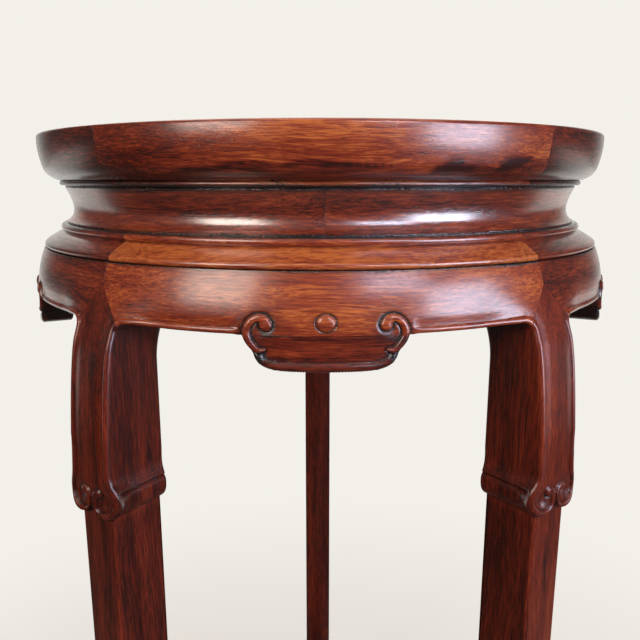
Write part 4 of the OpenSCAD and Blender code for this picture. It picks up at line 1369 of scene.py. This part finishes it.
class STAND_OT_stage(StandOperator, Operator):
    """Makes the pale floor, the soft lights and the camera."""

    bl_idname = "stand.stage"
    bl_label = "Stage"

    def execute(self, context):
        stage = context.scene.stand_stage
        self.floor(stage)
        self.surroundings(context, stage)
        for name, where in LIGHTS.items():
            tint = stage.key_tint if name in COOL_LIGHTS else stage.fill_tint
            self.light(name, getattr(stage, name), tint, *where)
        camera = bpy.data.objects.new("camera", bpy.data.cameras.new("camera"))
        context.scene.collection.objects.link(camera)
        camera.data.lens = stage.lens
        camera.data.sensor_width = 36
        camera.data.clip_start = 0.01
        camera.location = (math.sin(stage.azimuth) * stage.distance,
                           -math.cos(stage.azimuth) * stage.distance, HEIGHT * MM - stage.drop)
        camera.rotation_euler = (math.pi / 2 - stage.pitch, 0, stage.azimuth)
        context.scene.camera = camera
        context.scene.view_settings.view_transform = "Standard"
        return {"FINISHED"}

    def light(self, name, watts, tint, width, height, azimuth, elevation, distance):
        """A soft light of a width and a height that faces the upper part of the stand."""
        lamp = bpy.data.lights.new(name, "AREA")
        lamp.energy = watts
        lamp.color = tint
        lamp.shape = "RECTANGLE"
        lamp.size = width
        lamp.size_y = height
        holder = bpy.data.objects.new(name, lamp)
        bpy.context.scene.collection.objects.link(holder)
        a, e = math.radians(azimuth), math.radians(elevation)
        level = distance * math.cos(e)
        holder.location = (level * math.sin(a), -level * math.cos(a),
                           LIT_HEIGHT * HEIGHT * MM + distance * math.sin(e))
        holder.rotation_euler = (math.pi / 2 - e, 0, a)
        holder.visible_camera = False

    def behind(self, tree, place_or_way):
        """Share of a place or a direction that lies behind the stand."""
        depth = add_node(tree, "ShaderNodeSeparateXYZ", {"Vector": place_or_way}).outputs["Y"]
        return add_node(tree, "ShaderNodeMapRange", {"Value": depth, **BEHIND},
                        interpolation_type="SMOOTHSTEP").outputs["Result"]

    def seen(self, tree, behind):
        """Share of the rays that show the background: seen, sent through, or shining behind the stand."""
        rays = add_node(tree, "ShaderNodeLightPath", {}).outputs
        share = add_node(tree, "ShaderNodeMath", {0: rays["Is Glossy Ray"], 1: behind},
                         operation="MULTIPLY").outputs[0]
        for ray in ("Is Camera Ray", "Is Transmission Ray"):
            share = add_node(tree, "ShaderNodeMath", {0: share, 1: rays[ray]},
                             operation="MAXIMUM").outputs[0]
        return share

    def floor(self, stage):
        """A wide pale floor that keeps the stand's shadow and fades into the background."""
        mesh = bpy.data.meshes.new("floor")
        edge = place(np.linspace(0, 360, FLOOR_SIDES, endpoint=False), FLOOR_R, 0, HEIGHT)
        mesh.from_pydata(edge.tolist(), [], [list(range(FLOOR_SIDES))])
        floor = bpy.data.objects.new("floor", mesh)
        bpy.context.scene.collection.objects.link(floor)
        paint = bpy.data.materials.new("floor_matt_paint")
        mesh.materials.append(paint)
        paint.use_nodes = True
        tree = paint.node_tree
        shader = tree.nodes["Principled BSDF"]
        shader.inputs["Roughness"].default_value = 0.9
        spot = add_node(tree, "ShaderNodeTexCoord", {}).outputs["Object"]
        far = add_node(tree, "ShaderNodeVectorMath", {0: spot}, operation="LENGTH").outputs["Value"]
        far = add_node(tree, "ShaderNodeMapRange", {"Value": far, **FLOOR_FADE},
                       interpolation_type="SMOOTHSTEP").outputs["Result"]
        seen = self.seen(tree, self.behind(tree, spot))
        shade = add_node(tree, "ShaderNodeMix", {"Factor": seen, "A": opaque(stage.ground_shade),
                                                 "B": opaque(stage.ground)}, data_type="RGBA")
        tree.links.new(shade.outputs["Result"], shader.inputs["Base Color"])
        share = add_node(tree, "ShaderNodeMath", {0: far, 1: seen}, operation="MULTIPLY").outputs[0]
        glow = add_node(tree, "ShaderNodeEmission", {"Color": opaque(stage.ground), "Strength": 1.0})
        blend = add_node(tree, "ShaderNodeMixShader", {0: share, 1: shader.outputs[0], 2: glow.outputs[0]})
        tree.links.new(blend.outputs[0], tree.nodes["Material Output"].inputs["Surface"])

    def surroundings(self, context, stage):
        """A pale backdrop of the floor's colour behind the stand, and a dimmer room in front of it."""
        world = bpy.data.worlds.new("surroundings")
        context.scene.world = world
        world.use_nodes = True
        tree = world.node_tree
        back = tree.nodes["Background"]
        back.inputs["Color"].default_value = opaque(stage.ground)
        behind = self.behind(tree, add_node(tree, "ShaderNodeTexCoord", {}).outputs["Generated"])
        room = add_node(tree, "ShaderNodeMapRange", {"Value": behind, "To Min": stage.ambient,
                                                     "To Max": stage.backdrop}).outputs["Result"]
        shown = add_node(tree, "ShaderNodeMapRange", {"Value": self.seen(tree, behind), "To Min": room,
                                                      "To Max": 1.0})
        tree.links.new(shown.outputs["Result"], back.inputs["Strength"])


BUILD_ORDER = (STAND_OT_stage, STAND_OT_top_frame, STAND_OT_panels, STAND_OT_waist, STAND_OT_moulding,
               STAND_OT_aprons, STAND_OT_pendants, STAND_OT_legs, STAND_OT_shelf_rails,
               STAND_OT_hidden_joinery)


class STAND_PT_build(Panel):
    """Lists the stand's pieces and their settings."""

    bl_idname = "STAND_PT_build"
    bl_label = "Round hardwood stand"
    bl_space_type = "VIEW_3D"
    bl_region_type = "UI"
    bl_category = "Stand"

    def draw(self, context):
        for operator in BUILD_ORDER:
            self.layout.operator(operator.bl_idname)
        for group in SETTINGS:
            settings = getattr(context.scene, group)
            for key in settings.bl_rna.properties.keys():
                if key not in ("rna_type", "name"):
                    self.layout.prop(settings, key)


SETTINGS = {"stand_sizes": StandSizes, "stand_carving": CarvingSizes, "stand_colours": WoodColours,
            "stand_stage": StageSettings}
CLASSES = (*SETTINGS.values(), *BUILD_ORDER, STAND_PT_build)


def register():
    for cls in CLASSES:
        bpy.utils.register_class(cls)
    for name, group in SETTINGS.items():
        setattr(bpy.types.Scene, name, PointerProperty(type=group))


def unregister():
    for name in SETTINGS:
        delattr(bpy.types.Scene, name)
    for cls in reversed(CLASSES):
        bpy.utils.unregister_class(cls)


def main():
    register()
    for operator in BUILD_ORDER:
        group, name = operator.bl_idname.split(".")
        getattr(getattr(bpy.ops, group), name)()


if __name__ == "__main__":
    main()
